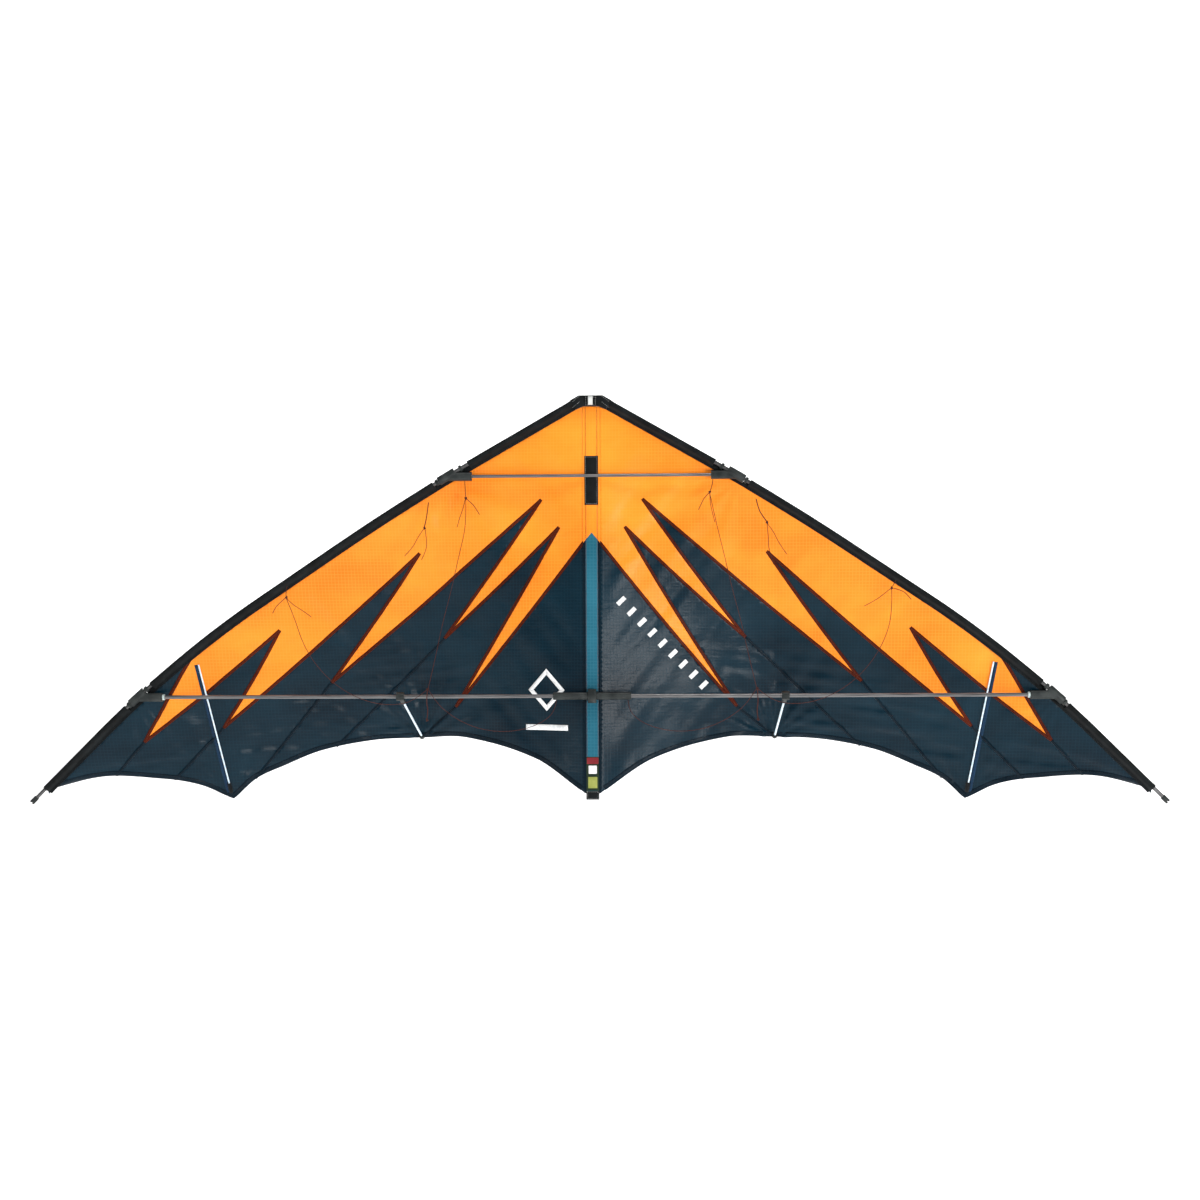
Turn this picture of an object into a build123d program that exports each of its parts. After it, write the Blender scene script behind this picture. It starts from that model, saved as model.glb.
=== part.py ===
from build123d import *
import os
from math import tan, radians

# A two-line delta sport kite, in millimetres. X runs along the span, Z up to the nose, and Y from the
# flyer's side through the sail to its back. The drawing has its zero on the top edge of the nose, in the
# plane of the leading-edge spars; export moves it so that the origin is the middle of the hang loop.

# Overall sizes
HALF_SPAN = 900.0
HEIGHT = 643.0

# Rods: outer radii, and the bore of the carbon tubes
SPAR_R = 3.0
SPAR_BORE_R = 2.0
UPPER_SPREADER_R = 2.5
UPPER_SPREADER_BORE_R = 1.6
STANDOFF_R = 1.75
BATTEN_R = 1.25
RUNNING_GAP = 0.05
SOCKET_GAP = 0.15

# Heights of the two spreaders below the nose, and the ferrule's place along the leading edge
UPPER_SPREADER_DROP = 127.0
LOWER_SPREADER_DROP = 476.6
UPPER_SPAR_LENGTH = 825.0
FERRULE_LENGTH = 70.0

# Leading edge, as fractions of the half span and of the height: straight runs that big arcs join
LEADING_EDGE = [(0.0156, 0.005), (0.3244, 0.2512), (0.6678, 0.5731), (0.8189, 0.7481), (1.0, 1.0)]

# Trailing edge from the tail to the tip: fractions of the half span and of the height, then the depth
# in mm by which the sail lies behind the spars there. Every second point is the middle of an arc.
TRAILING_EDGE = [
    (0.0129, 0.982, 0.0),
    (0.1037, 0.9014, 47.0),
    (0.2344, 0.8533, 107.0),
    (0.3242, 0.8568, 150.0),
    (0.4142, 0.8625, 137.0),
    (0.5056, 0.8868, 122.0),
    (0.5733, 0.9244, 114.0),
    (0.6256, 0.9588, 104.0),
    (0.6633, 1.0072, 98.0),
    (0.7222, 0.9673, 76.0),
    (0.79, 0.9502, 54.0),
    (0.8844, 0.9428, 27.0),
    (0.9756, 0.972, 0.0),
]
OUTER_BATTEN_POINT = 8

# Colour pattern of a wing: the roots and the points of the orange flames, and where the seam that
# goes on from each point meets the trailing edge
FLAME_ROOTS = [(0.0, 0.3375), (0.0584, 0.3235), (0.0897, 0.255), (0.3089, 0.3857), (0.5607, 0.5762)]
FLAME_POINTS = [(0.255, 0.7745), (0.2707, 0.5992), (0.4783, 0.7107), (0.6703, 0.8227), (0.8061, 0.8554)]
SEAM_ENDS = [(0.3242, 0.8568), (0.4778, 0.8802), (0.6233, 0.9565), (0.7622, 0.958), (0.8622, 0.9425)]
LEADING_EDGE_MEETING = (0.728, 0.655)
PANEL_NAMES = ["inner", "first", "second", "third", "fourth"]

# Moulded rubber fittings: walls outside the rod that they hold, and lengths
CONNECTOR_WALL = 4.0
FLAT_WALL = 2.3
CONNECTOR_LENGTH = 30.0
SOCKET_LENGTH = 40.0
SOCKET_FLOOR = 1.5
ROD_END_GAP = 1.0
CLIP_WALL = 2.2
CLIP_LENGTH = 4.5
CLIP_GAP = 1.0
T_ARM_LENGTH = 62.0
T_ARM_WALL = 3.0
T_HUB_WALL = 3.5
T_HUB_HALF_HEIGHT = 11.0
T_BORE_START = 10.0
T_WINDOW_HALF_HEIGHT = 13.0
FITTING_R = SPAR_R + CONNECTOR_WALL
FITTING_HALF_DEPTH = SPAR_R + FLAT_WALL
FITTING_HALF_HEIGHT = SPAR_R + CONNECTOR_WALL
CLIP_R = SPAR_R + CLIP_WALL
T_HALF_HEIGHT = SPAR_R + T_ARM_WALL
T_HUB_HALF_WIDTH = SPAR_R + T_HUB_WALL
FITTING_CORNER_R = 4.5
NOCK_WALL = 1.2
NOCK_LENGTH = 12.0
NOCK_FLOOR = 3.0
NOCK_SLOT = 1.6
NOCK_SLOT_DEPTH = 4.0

# Cloth: it lies behind the fittings by a gap, and ends at the fold lines beside the centre strip
CLOTH = 0.8
CLOTH_GAP = 0.3
SAIL_Y = FITTING_HALF_DEPTH + CLOTH_GAP + CLOTH / 2
STRIP_HALF_WIDTH = 11.0
FOLD_GAP = 0.6
SAIL_EDGE_X = STRIP_HALF_WIDTH + FOLD_GAP
SHEET_ROWS = 3
EDGE_MARGIN = 60.0

# Leading-edge sleeve: a round part over the spar and a flat hem behind
SLEEVE_CLEARANCE = 0.3
SLEEVE_WALL = 1.3
SLEEVE_HOLE_R = SPAR_R + SLEEVE_CLEARANCE
SLEEVE_R = SLEEVE_HOLE_R + SLEEVE_WALL
HEM_INNER = 11.5
HEM_OUTER = 8.0
HEM_THICKNESS = 1.0
SLEEVE_START = 30.0
SLEEVE_END = 880.0 / 900.0
WINDOW_TIP_SIDE = 25.0
WINDOW_MARGIN = 5.0
WINDOW_INNER = 7.6

# Spine and its pocket
CAP_WALL = 1.0
CAP_GAP = 0.1
CAP_LENGTH = 10.0
CAP_FLOOR = 2.0
CAP_R = SPAR_R + CAP_WALL
SPINE_Y = SAIL_Y + CLOTH / 2 + CAP_GAP + CAP_R
SPINE_TOP_DROP = 6.0
SPINE_TAIL_REACH = 2.574
POCKET_HOLE_R = SLEEVE_HOLE_R
POCKET_R = POCKET_HOLE_R + SLEEVE_WALL

# Nose, hang loop, patches and the tail
NOSE_PATCH_DROP = 17.0
NOSE_TOP_HALF_WIDTH = 19.0
NOSE_BACK_Y = SPINE_Y - CAP_R
LOOP_WIDTH = 7.0
LOOP_DEPTH = 8.4
LOOP_HEIGHT = 14.4
LOOP_WEBBING = 1.2
LOOP_DROP = 8.5
CENTRE_PATCH_TOP_DROP = 95.4
CENTRE_PATCH_HEIGHT = 78.0
PATCH_THICKNESS = 0.6
LABEL_HALF_WIDTH = 10.0
LABEL_HEIGHT = 54.0
LABEL_RISE = 4.0
TAIL_TAB_HALF_WIDTH = 10.5
TAIL_TAB_REACH = 10.2
STRAP_THICKNESS = 1.2
STRAP_BACK_Y = SPINE_Y + POCKET_R + CLOTH_GAP + STRAP_THICKNESS
STRAP_RISE = 34.0

# Stand-offs and battens
STANDOFF_X = 306.0
STANDOFF_RING_LENGTH = 12.0
STANDOFF_SOCKET_R = 4.0
STANDOFF_SOCKET_LENGTH = 24.0
STANDOFF_ROD_START = 12.0
STANDOFF_END_GAP = 0.4
STANDOFF_TO_EDGE = 5.0
CUP_R = 4.5
CUP_LENGTH = 8.0
BATTEN_TOP = (0.7044, 0.661)
BATTEN_BOTTOM_RISE = 17.0
BATTEN_CLEARANCE = 2.6

# Bridle line
LINE_R = 0.5
LEADER_R = 0.8
KNOT_R = 3.0
LINE_GAP = 0.3
UPPER_LINE_TOP = -(UPPER_SPREADER_DROP + FITTING_HALF_HEIGHT + LINE_GAP)
INNER_LINE_TOP = -(LOWER_SPREADER_DROP + T_HALF_HEIGHT + LINE_GAP)

# Routes of the bridle's lines on the right wing, as X, Y and Z points
UPPER_LEG = [
    (193.5, -6, -160.5),
    (198, -8, -204),
    (210, -9, -252),
    (222, -9.5, -306),
    (237, -10, -361),
    (248, -10.5, -414),
    (260, -11.4, -463.3),
]
OUTER_LEG = [
    (478.6, -6.4, -315),
    (474, -8, -350),
    (459, -10, -396),
    (431, -11, -437),
    (394, -12, -468),
    (350, -12, -487),
    (309, -12, -490),
    (280, -12, -481),
    (263, -11.5, -466.3),
]
INNER_LEG = [
    (57, -1, INNER_LINE_TOP),
    (58, -6, -497),
    (72, -9, -514),
    (100, -10, -527),
    (135, -10.5, -533),
    (172, -11, -530),
    (207, -11, -517),
    (235, -11, -498),
    (250, -11.5, -481),
    (259.3, -11.5, -466.2),
]
UPPER_LEADER = [(201, -1, UPPER_LINE_TOP), (199.5, -3.5, UPPER_LINE_TOP - 11), (194, -5.8, -157)]
UPPER_TAILS = [
    [(192.5, -6.5, -160), (192, -8, -173), (198, -8.5, -190), (204, -8, -204)],
    [(191.5, -6.5, -158), (182, -8, -166), (177, -8.5, -176), (173, -8, -187)],
]
MIDDLE_LEADER = [(261, -3.8, -168.5), (264, -7, -180), (268, -7.5, -193), (271.6, -8, -205)]
MIDDLE_TAILS = [
    [(274, -8, -208), (284, -8.5, -220), (290, -8, -238), (302, -8, -254)],
    [(272, -8, -209), (273, -8.5, -228), (270, -8, -246), (279, -8, -266)],
]
OUTER_LEADER = [(483, -5, -297), (481, -7, -304), (479, -6.8, -311.5)]
OUTER_TAILS = [
    [(477, -7, -314), (466, -8, -322), (452, -8, -333), (438, -8, -341)],
    [(482, -7, -313.5), (495, -8, -320), (500, -8, -329), (508, -8, -336)],
]
TOW_KNOT = (261, -11.5, -465)
TOW_TAIL = [(261.2, -11.6, -466), (263, -12, -484), (260, -12, -500), (262, -12, -512)]
KNOTS = [(193.5, -6, -158.5), (272, -8, -206.5), (479, -6.5, -313), TOW_KNOT, (262, -12, -513.5)]


def planar(fraction_x, fraction_z):
    """A point of the sail's plan from its fractions of the half span and of the height."""
    return fraction_x * HALF_SPAN, -fraction_z * HEIGHT


def tangent_arcs(points, share=0.45):
    """Radius at each inner point: the share of its shorter run over the tangent of half the turn."""
    points = [Vector(*p) for p in points]
    radii = []
    for before, here, after in zip(points, points[1:], points[2:]):
        arriving = here - before
        leaving = after - here
        shorter = min(arriving.length, leaving.length)
        radii.append(share * shorter / tan(radians(arriving.get_angle(leaving) / 2)))
    return radii


def route(points):
    """Straight runs joined by tangent arcs."""
    if len(points) == 2:
        return Line(*points)
    return FilletPolyline(*points, radius=tangent_arcs(points))


def tube(path, outer, bore=0.0):
    """A rod of round section along a path, with a bore if it has one."""
    start = Plane(origin=path @ 0, z_dir=path % 0)
    rod = sweep(start * Circle(outer), path=path)
    if bore:
        rod -= sweep(start * Circle(bore), path=path)
    return rod


def rod_along_x(low, high, radius, y=0.0, z=0.0):
    """A round bar parallel to the span between two X values."""
    place = Plane(origin=(low, y, z), z_dir=(1, 0, 0))
    return extrude(place * Circle(radius), high - low)


def bar(start, direction, length, radius):
    """A round bar from a point along a direction."""
    return extrude(Plane(origin=start, z_dir=direction) * Circle(radius), length)


def prism(outline, low_y=-200.0, high_y=400.0):
    """A plan outline of X and Z points, extruded through Y."""
    corners = [Vector(x, low_y, z) for x, z in outline]
    return Solid.extrude(Face(Wire.make_polygon(corners, close=True)), Vector(0, high_y - low_y, 0))


def piece_between(shape, path, low, high):
    """The stretch of a swept shape between two lengths along its path."""
    for t, keep in ((low, Keep.TOP), (high, Keep.BOTTOM)):
        if t is not None:
            where = Plane(origin=path @ t, z_dir=path % t)
            shape = split(shape, bisect_by=where, keep=keep)
    return shape


leading_edge = route([(x, 0, z) for x, z in [planar(*p) for p in LEADING_EDGE]])


def along_edge(measure, target):
    """Share of the leading edge's length at which a measure of the point reaches its target."""
    low, high = 0.0, 1.0
    for _ in range(40):
        middle = (low + high) / 2
        if measure(leading_edge @ middle) < target:
            low = middle
        else:
            high = middle
    return (low + high) / 2


def edge_height(x):
    return (leading_edge @ along_edge(lambda p: p.X, x)).Z


UPPER_T = along_edge(lambda p: -p.Z, UPPER_SPREADER_DROP)
LOWER_T = along_edge(lambda p: -p.Z, LOWER_SPREADER_DROP)
UPPER_POINT = leading_edge @ UPPER_T
LOWER_POINT = leading_edge @ LOWER_T
EDGE_LENGTH = leading_edge.length
FERRULE_T = UPPER_SPAR_LENGTH / EDGE_LENGTH


def socket_crossing(direction, inside):
    """How far towards the nose a socket's upper edge is still within a distance inside the spar's axis."""
    run, rise = direction.X, -direction.Z
    length = (FITTING_HALF_HEIGHT * run + inside) / rise
    return FITTING_HALF_HEIGHT * rise + length * run


def rod_stop(direction, radius):
    """How far from the spar's axis a level rod of a radius has to end to clear the sloping spar."""
    run, rise = direction.X, -direction.Z
    return (radius * run + SPAR_R) / rise + SOCKET_FLOOR


UPPER_STOP = UPPER_POINT.X - rod_stop(leading_edge % UPPER_T, UPPER_SPREADER_R)


def trailing_line(x):
    """Height and depth of the trailing edge at a distance from the spine."""
    points = [(fx * HALF_SPAN, -fz * HEIGHT, depth) for fx, fz, depth in TRAILING_EDGE]
    for (x0, z0, d0), (x1, z1, d1) in zip(points, points[1:]):
        if x <= x1 or (x1, z1, d1) == points[-1]:
            share = (x - x0) / (x1 - x0)
            return z0 + share * (z1 - z0), d0 + share * (d1 - d0)


def sail_y(x, z):
    """The sail's middle surface: straight lines from the leading edge back to the trailing edge."""
    top = edge_height(x)
    bottom, depth = trailing_line(x)
    return SAIL_Y + depth * max(0.0, (top - z) / (top - bottom))


def sail_sheet():
    """One wing's cloth as a closed sheet of flat facets, past both edges by a margin."""
    columns = []
    for fx, fz, depth in TRAILING_EDGE:
        x = max(fx * HALF_SPAN, SAIL_EDGE_X)
        top = edge_height(x)
        bottom = -fz * HEIGHT
        reach = (top - bottom + EDGE_MARGIN) / (top - bottom)
        rows = [reach * i / SHEET_ROWS for i in range(SHEET_ROWS + 1)]
        columns.append([(x, SAIL_Y + depth * s, top + (bottom - top) * s) for s in rows])
    columns[-1] = [(p[0] + SAIL_EDGE_X, p[1], p[2]) for p in columns[-1]]

    def facet(*corners):
        return Face(Wire.make_polygon([Vector(*c) for c in corners], close=True))

    def shifted(point, by):
        return point[0], point[1] + by, point[2]

    faces = []
    for side in (-CLOTH / 2, CLOTH / 2):
        for left, right in zip(columns, columns[1:]):
            for i in range(SHEET_ROWS):
                a, b = shifted(left[i], side), shifted(right[i], side)
                c, d = shifted(right[i + 1], side), shifted(left[i + 1], side)
                faces += [facet(a, b, c), facet(a, c, d)]
    rim = [c[0] for c in columns] + columns[-1][1:]
    rim += [c[-1] for c in columns[-2::-1]] + columns[0][-2:0:-1]
    for p, q in zip(rim, rim[1:] + rim[:1]):
        faces.append(facet(*[shifted(p, -CLOTH / 2), shifted(q, -CLOTH / 2)],
                           *[shifted(q, CLOTH / 2), shifted(p, CLOTH / 2)]))
    return Solid(Shell(faces))


def trailing_prism():
    """Everything above the scalloped trailing edge, as a prism through the sail."""
    plan = [(fx * HALF_SPAN, -200.0, -fz * HEIGHT) for fx, fz, _ in TRAILING_EDGE]
    plan[0] = (SAIL_EDGE_X, plan[0][1], plan[0][2])
    arcs = [ThreePointArc(*plan[i:i + 3]) for i in range(0, len(plan) - 2, 2)]
    corners = [plan[-1], (HALF_SPAN, -200.0, plan[-1][2]), (HALF_SPAN, -200.0, 50.0)]
    corners += [(SAIL_EDGE_X, -200.0, 50.0), plan[0]]
    sides = [Line(p, q) for p, q in zip(corners, corners[1:])]
    wire = Wire([edge for curve in arcs + sides for edge in curve.edges()])
    return Solid.extrude(Face(wire), Vector(0, 600, 0))


def nose_outline():
    """Plan of the nose patch: a flat top, and sides square to the leading edge where the sleeve starts."""
    end = Vector(SLEEVE_START, 0, edge_height(SLEEVE_START))
    along = leading_edge % 0
    out = Vector(-along.Z, 0, along.X)
    outer = end + out * (SLEEVE_R + 0.6)
    inner = end - out * HEM_INNER
    half = [(NOSE_TOP_HALF_WIDTH, 0), (outer.X, outer.Z), (inner.X, inner.Z)]
    half.append((STRIP_HALF_WIDTH + 1, -NOSE_PATCH_DROP))
    return half + [(-x, z) for x, z in reversed(half)]


def sleeve_profile():
    """Section of the sleeve: local X is the kite's Y, local Y points out of the sail."""
    hem_middle = -(HEM_INNER + HEM_OUTER) / 2
    hem = Pos(SAIL_Y, hem_middle) * Rectangle(HEM_THICKNESS, HEM_INNER - HEM_OUTER)
    return make_face(make_hull(Circle(SLEEVE_R).edges() + hem.edges()).edges())


def edge_plane(t):
    return Plane(origin=leading_edge @ t, x_dir=(0, 1, 0), z_dir=leading_edge % t)


def leading_edge_sleeve():
    start = edge_plane(0)
    sleeve = sweep(start * sleeve_profile(), path=leading_edge)
    sleeve -= sweep(start * Circle(SLEEVE_HOLE_R), path=leading_edge)
    first = along_edge(lambda p: p.X, SLEEVE_START)
    last = along_edge(lambda p: p.X, SLEEVE_END * HALF_SPAN)
    sleeve = piece_between(sleeve, leading_edge, first, last)
    reach = 30.0
    for t in (UPPER_T, LOWER_T):
        nose_side = socket_crossing(leading_edge % t, HEM_INNER) + WINDOW_MARGIN
        length = nose_side + WINDOW_TIP_SIDE
        middle = (WINDOW_TIP_SIDE - nose_side) / 2
        outer = Pos(0, (reach - WINDOW_INNER) / 2, middle) * Box(2 * reach, reach + WINDOW_INNER, length)
        front_y = SAIL_Y - HEM_THICKNESS / 2
        front = Pos(front_y - reach / 2, 0, middle) * Box(reach, 2 * reach, length)
        sleeve -= edge_plane(t).location * (outer + front)
    return sleeve


def sail_panels(cutters):
    """The orange panel and the dark panels of one wing."""
    envelope = Pos(0, (EDGE_MARGIN - HEM_INNER) / 2) * Rectangle(80, EDGE_MARGIN + HEM_INNER)
    sheet = sail_sheet() & trailing_prism()
    sheet -= sweep(edge_plane(0) * envelope, path=leading_edge)
    sheet -= prism(nose_outline(), -20, 20)
    for cutter in cutters:
        sheet -= cutter
    roots = [planar(*p) for p in FLAME_ROOTS]
    points = [planar(*p) for p in FLAME_POINTS]
    ends = [planar(*p) for p in SEAM_ENDS]
    meeting = planar(*LEADING_EDGE_MEETING)

    def past(inner, end, by=EDGE_MARGIN + 40.0):
        run = Vector(end[0] - inner[0], end[1] - inner[1]).normalized()
        return end[0] + by * run.X, end[1] + by * run.Y

    low_tail = (0, -HEIGHT - 2 * EDGE_MARGIN)
    outer = [past(p, e) for p, e in zip(points, ends)]
    panels = {}
    outline = [low_tail, roots[0], points[0], outer[0]]
    panels["inner_panel"] = sheet & prism(outline)
    for i in range(1, 5):
        outline = [outer[i - 1], points[i - 1], roots[i], points[i], outer[i]]
        panels[f"{PANEL_NAMES[i]}_panel"] = sheet & prism(outline)
    beyond = (HALF_SPAN + EDGE_MARGIN, meeting[1] + 40)
    outline = [outer[4], points[4], meeting, (meeting[0] + 50, meeting[1] + 42), beyond,
               (HALF_SPAN + EDGE_MARGIN, -HEIGHT - 2 * EDGE_MARGIN)]
    panels["tip_panel"] = sheet & prism(outline)
    zigzag = [roots[0]]
    for i in range(5):
        zigzag.append(points[i])
        if i < 4:
            zigzag.append(roots[i + 1])
    outline = [(0, 50)] + zigzag + [meeting, (meeting[0] + 50, meeting[1] + 42), (HALF_SPAN, 50)]
    panels["orange_panel"] = sheet & prism(outline)
    return panels


def connector(point, direction, socket_end, socket_r, rod_end, spar_hole):
    """A moulded connector: a sleeve on the leading-edge spar with a socket pointing to the spine."""
    half = CONNECTOR_LENGTH / 2
    body = bar(point - direction * half, direction, CONNECTOR_LENGTH, FITTING_R)
    place = Plane(origin=(socket_end, 0, point.Z), x_dir=(0, 1, 0), z_dir=(1, 0, 0))
    section = RectangleRounded(2 * FITTING_HALF_DEPTH, 2 * FITTING_HALF_HEIGHT, FITTING_CORNER_R)
    body += extrude(place * section, point.X - socket_end)
    body -= spar_hole
    body -= rod_along_x(socket_end - 5, rod_end, socket_r, z=point.Z)
    return body


def stopper_clips(point_t, spar_hole):
    """The clips that keep a connector in its window, one towards the nose and one towards the tip."""
    clips = []
    nose_side = socket_crossing(leading_edge % point_t, CLIP_R) + CLIP_GAP
    for low in (-nose_side - CLIP_LENGTH, CONNECTOR_LENGTH / 2 + CLIP_GAP):
        start = leading_edge @ (point_t + low / EDGE_LENGTH)
        direction = leading_edge % (point_t + (low + CLIP_LENGTH / 2) / EDGE_LENGTH)
        clips.append(bar(start, direction, CLIP_LENGTH, CLIP_R) - spar_hole)
    return clips


def line(points, radius):
    return tube(route(points), radius)


def wing():
    """Every piece that one wing carries, drawn on the right-hand side."""
    pieces = {}
    up_direction, low_direction = leading_edge % UPPER_T, leading_edge % LOWER_T
    spar = tube(leading_edge, SPAR_R, SPAR_BORE_R)
    pieces["upper_spar"] = piece_between(spar, leading_edge, None, FERRULE_T)
    pieces["lower_spar"] = piece_between(spar, leading_edge, FERRULE_T, None)
    pin = tube(leading_edge, SPAR_BORE_R - RUNNING_GAP)
    half = FERRULE_LENGTH / 2 / EDGE_LENGTH
    pieces["ferrule"] = piece_between(pin, leading_edge, FERRULE_T - half, FERRULE_T + half)
    tip, tip_direction = leading_edge @ 1, leading_edge % 1
    nock_start = tip - tip_direction * (NOCK_LENGTH - NOCK_FLOOR)
    nock = bar(nock_start, tip_direction, NOCK_LENGTH, SPAR_R + NOCK_WALL)
    nock -= bar(tip - tip_direction * NOCK_LENGTH, tip_direction, NOCK_LENGTH, SPAR_R + RUNNING_GAP)
    slot_place = Plane(origin=tip + tip_direction * NOCK_FLOOR, x_dir=(0, 1, 0), z_dir=tip_direction)
    pieces["tip_nock"] = nock - slot_place.location * Box(4 * SPAR_R, NOCK_SLOT, NOCK_SLOT_DEPTH)
    pieces["leading_edge_sleeve"] = leading_edge_sleeve()

    spar_hole = tube(leading_edge, SPAR_R + RUNNING_GAP)
    upper_mouth = UPPER_POINT.X - SOCKET_LENGTH
    lower_mouth = LOWER_POINT.X - SOCKET_LENGTH
    lower_stop = LOWER_POINT.X - rod_stop(low_direction, SPAR_R)
    pieces["upper_connector"] = connector(
        UPPER_POINT, up_direction, upper_mouth, UPPER_SPREADER_R + SOCKET_GAP, UPPER_STOP, spar_hole)
    pieces["lower_connector"] = connector(
        LOWER_POINT, low_direction, lower_mouth, SPAR_R + RUNNING_GAP, lower_stop, spar_hole)
    clips = stopper_clips(UPPER_T, spar_hole) + stopper_clips(LOWER_T, spar_hole)
    pieces["stopper_clips"] = Compound(children=clips)
    spreader_end = lower_stop - ROD_END_GAP
    spreader = rod_along_x(T_BORE_START + 0.5, spreader_end, SPAR_R, z=-LOWER_SPREADER_DROP)
    spreader -= rod_along_x(0, spreader_end + 5, SPAR_BORE_R, z=-LOWER_SPREADER_DROP)
    pieces["lower_spreader"] = spreader

    # Stand-off: a ring on the lower spreader, a rod, and a cup sewn to the trailing edge
    foot = Vector(STANDOFF_X, 0, -LOWER_SPREADER_DROP)
    edge_x, edge_z = planar(*TRAILING_EDGE[3][:2])
    target = Vector(edge_x, SAIL_Y + TRAILING_EDGE[3][2] - 2, edge_z + 2)
    direction = (target - foot).normalized()
    reach = (target - foot).length - STANDOFF_TO_EDGE
    ring = rod_along_x(STANDOFF_X - STANDOFF_RING_LENGTH / 2, STANDOFF_X + STANDOFF_RING_LENGTH / 2,
                       FITTING_R, z=-LOWER_SPREADER_DROP)
    ring += bar(foot, direction, STANDOFF_SOCKET_LENGTH, STANDOFF_SOCKET_R)
    ring -= rod_along_x(STANDOFF_X - 30, STANDOFF_X + 30, SPAR_R + RUNNING_GAP, z=-LOWER_SPREADER_DROP)
    ring -= bar(foot + direction * STANDOFF_ROD_START, direction, 60, STANDOFF_R + RUNNING_GAP)
    pieces["standoff_connector"] = ring
    pieces["standoff_rod"] = bar(foot + direction * (STANDOFF_ROD_START + 0.2), direction,
                                 reach - STANDOFF_ROD_START - 0.2, STANDOFF_R)
    cup = bar(foot + direction * (reach + STANDOFF_END_GAP), direction, CUP_LENGTH, CUP_R)
    pieces["trailing_edge_cup"] = cup

    # Outer batten, in front of the cloth from the leading edge to the corner of the trailing edge
    top_x, top_z = planar(*BATTEN_TOP)
    corner_x, corner_z = planar(*TRAILING_EDGE[OUTER_BATTEN_POINT][:2])
    low_x, low_z = corner_x + 3, corner_z + BATTEN_BOTTOM_RISE
    top = Vector(top_x, sail_y(top_x, top_z) - BATTEN_CLEARANCE, top_z)
    low = Vector(low_x, sail_y(low_x, low_z) - BATTEN_CLEARANCE, low_z)
    pieces["outer_batten"] = bar(top, (low - top).normalized(), (low - top).length, BATTEN_R)

    for name, panel in sail_panels([cup]).items():
        pieces[name] = panel

    pieces["upper_bridle_leg"] = line(UPPER_LEG, LINE_R)
    pieces["outer_bridle_leg"] = line(OUTER_LEG, LINE_R)
    pieces["inner_bridle_leg"] = line(INNER_LEG, LINE_R)
    leaders = [line(points, LEADER_R) for points in (UPPER_LEADER, MIDDLE_LEADER, OUTER_LEADER, TOW_TAIL)]
    tails = [line(points, LINE_R) for points in UPPER_TAILS + MIDDLE_TAILS + OUTER_TAILS]
    balls = [Pos(*p) * Sphere(KNOT_R) for p in KNOTS]
    legs = [pieces[f"{n}_bridle_leg"] for n in ("upper", "outer", "inner")]
    knots = []
    for ball in balls:
        for leg in legs:
            ball -= leg
        knots.append(ball)
    pieces["bridle_knots"] = Compound(children=knot_groups(knots, leaders, tails))
    return pieces


def knot_groups(balls, leaders, tails):
    """Each knot fused with the leader that it hangs on and the tails that come out of it."""
    first = balls[0] + leaders[0] + tails[0] + tails[1]
    second = balls[1] + leaders[1] + tails[2] + tails[3]
    third = balls[2] + leaders[2] + tails[4] + tails[5]
    tow = balls[3] + leaders[3] + balls[4]
    return [solid for group in (first, second, third, tow) for solid in group.solids()]


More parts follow.
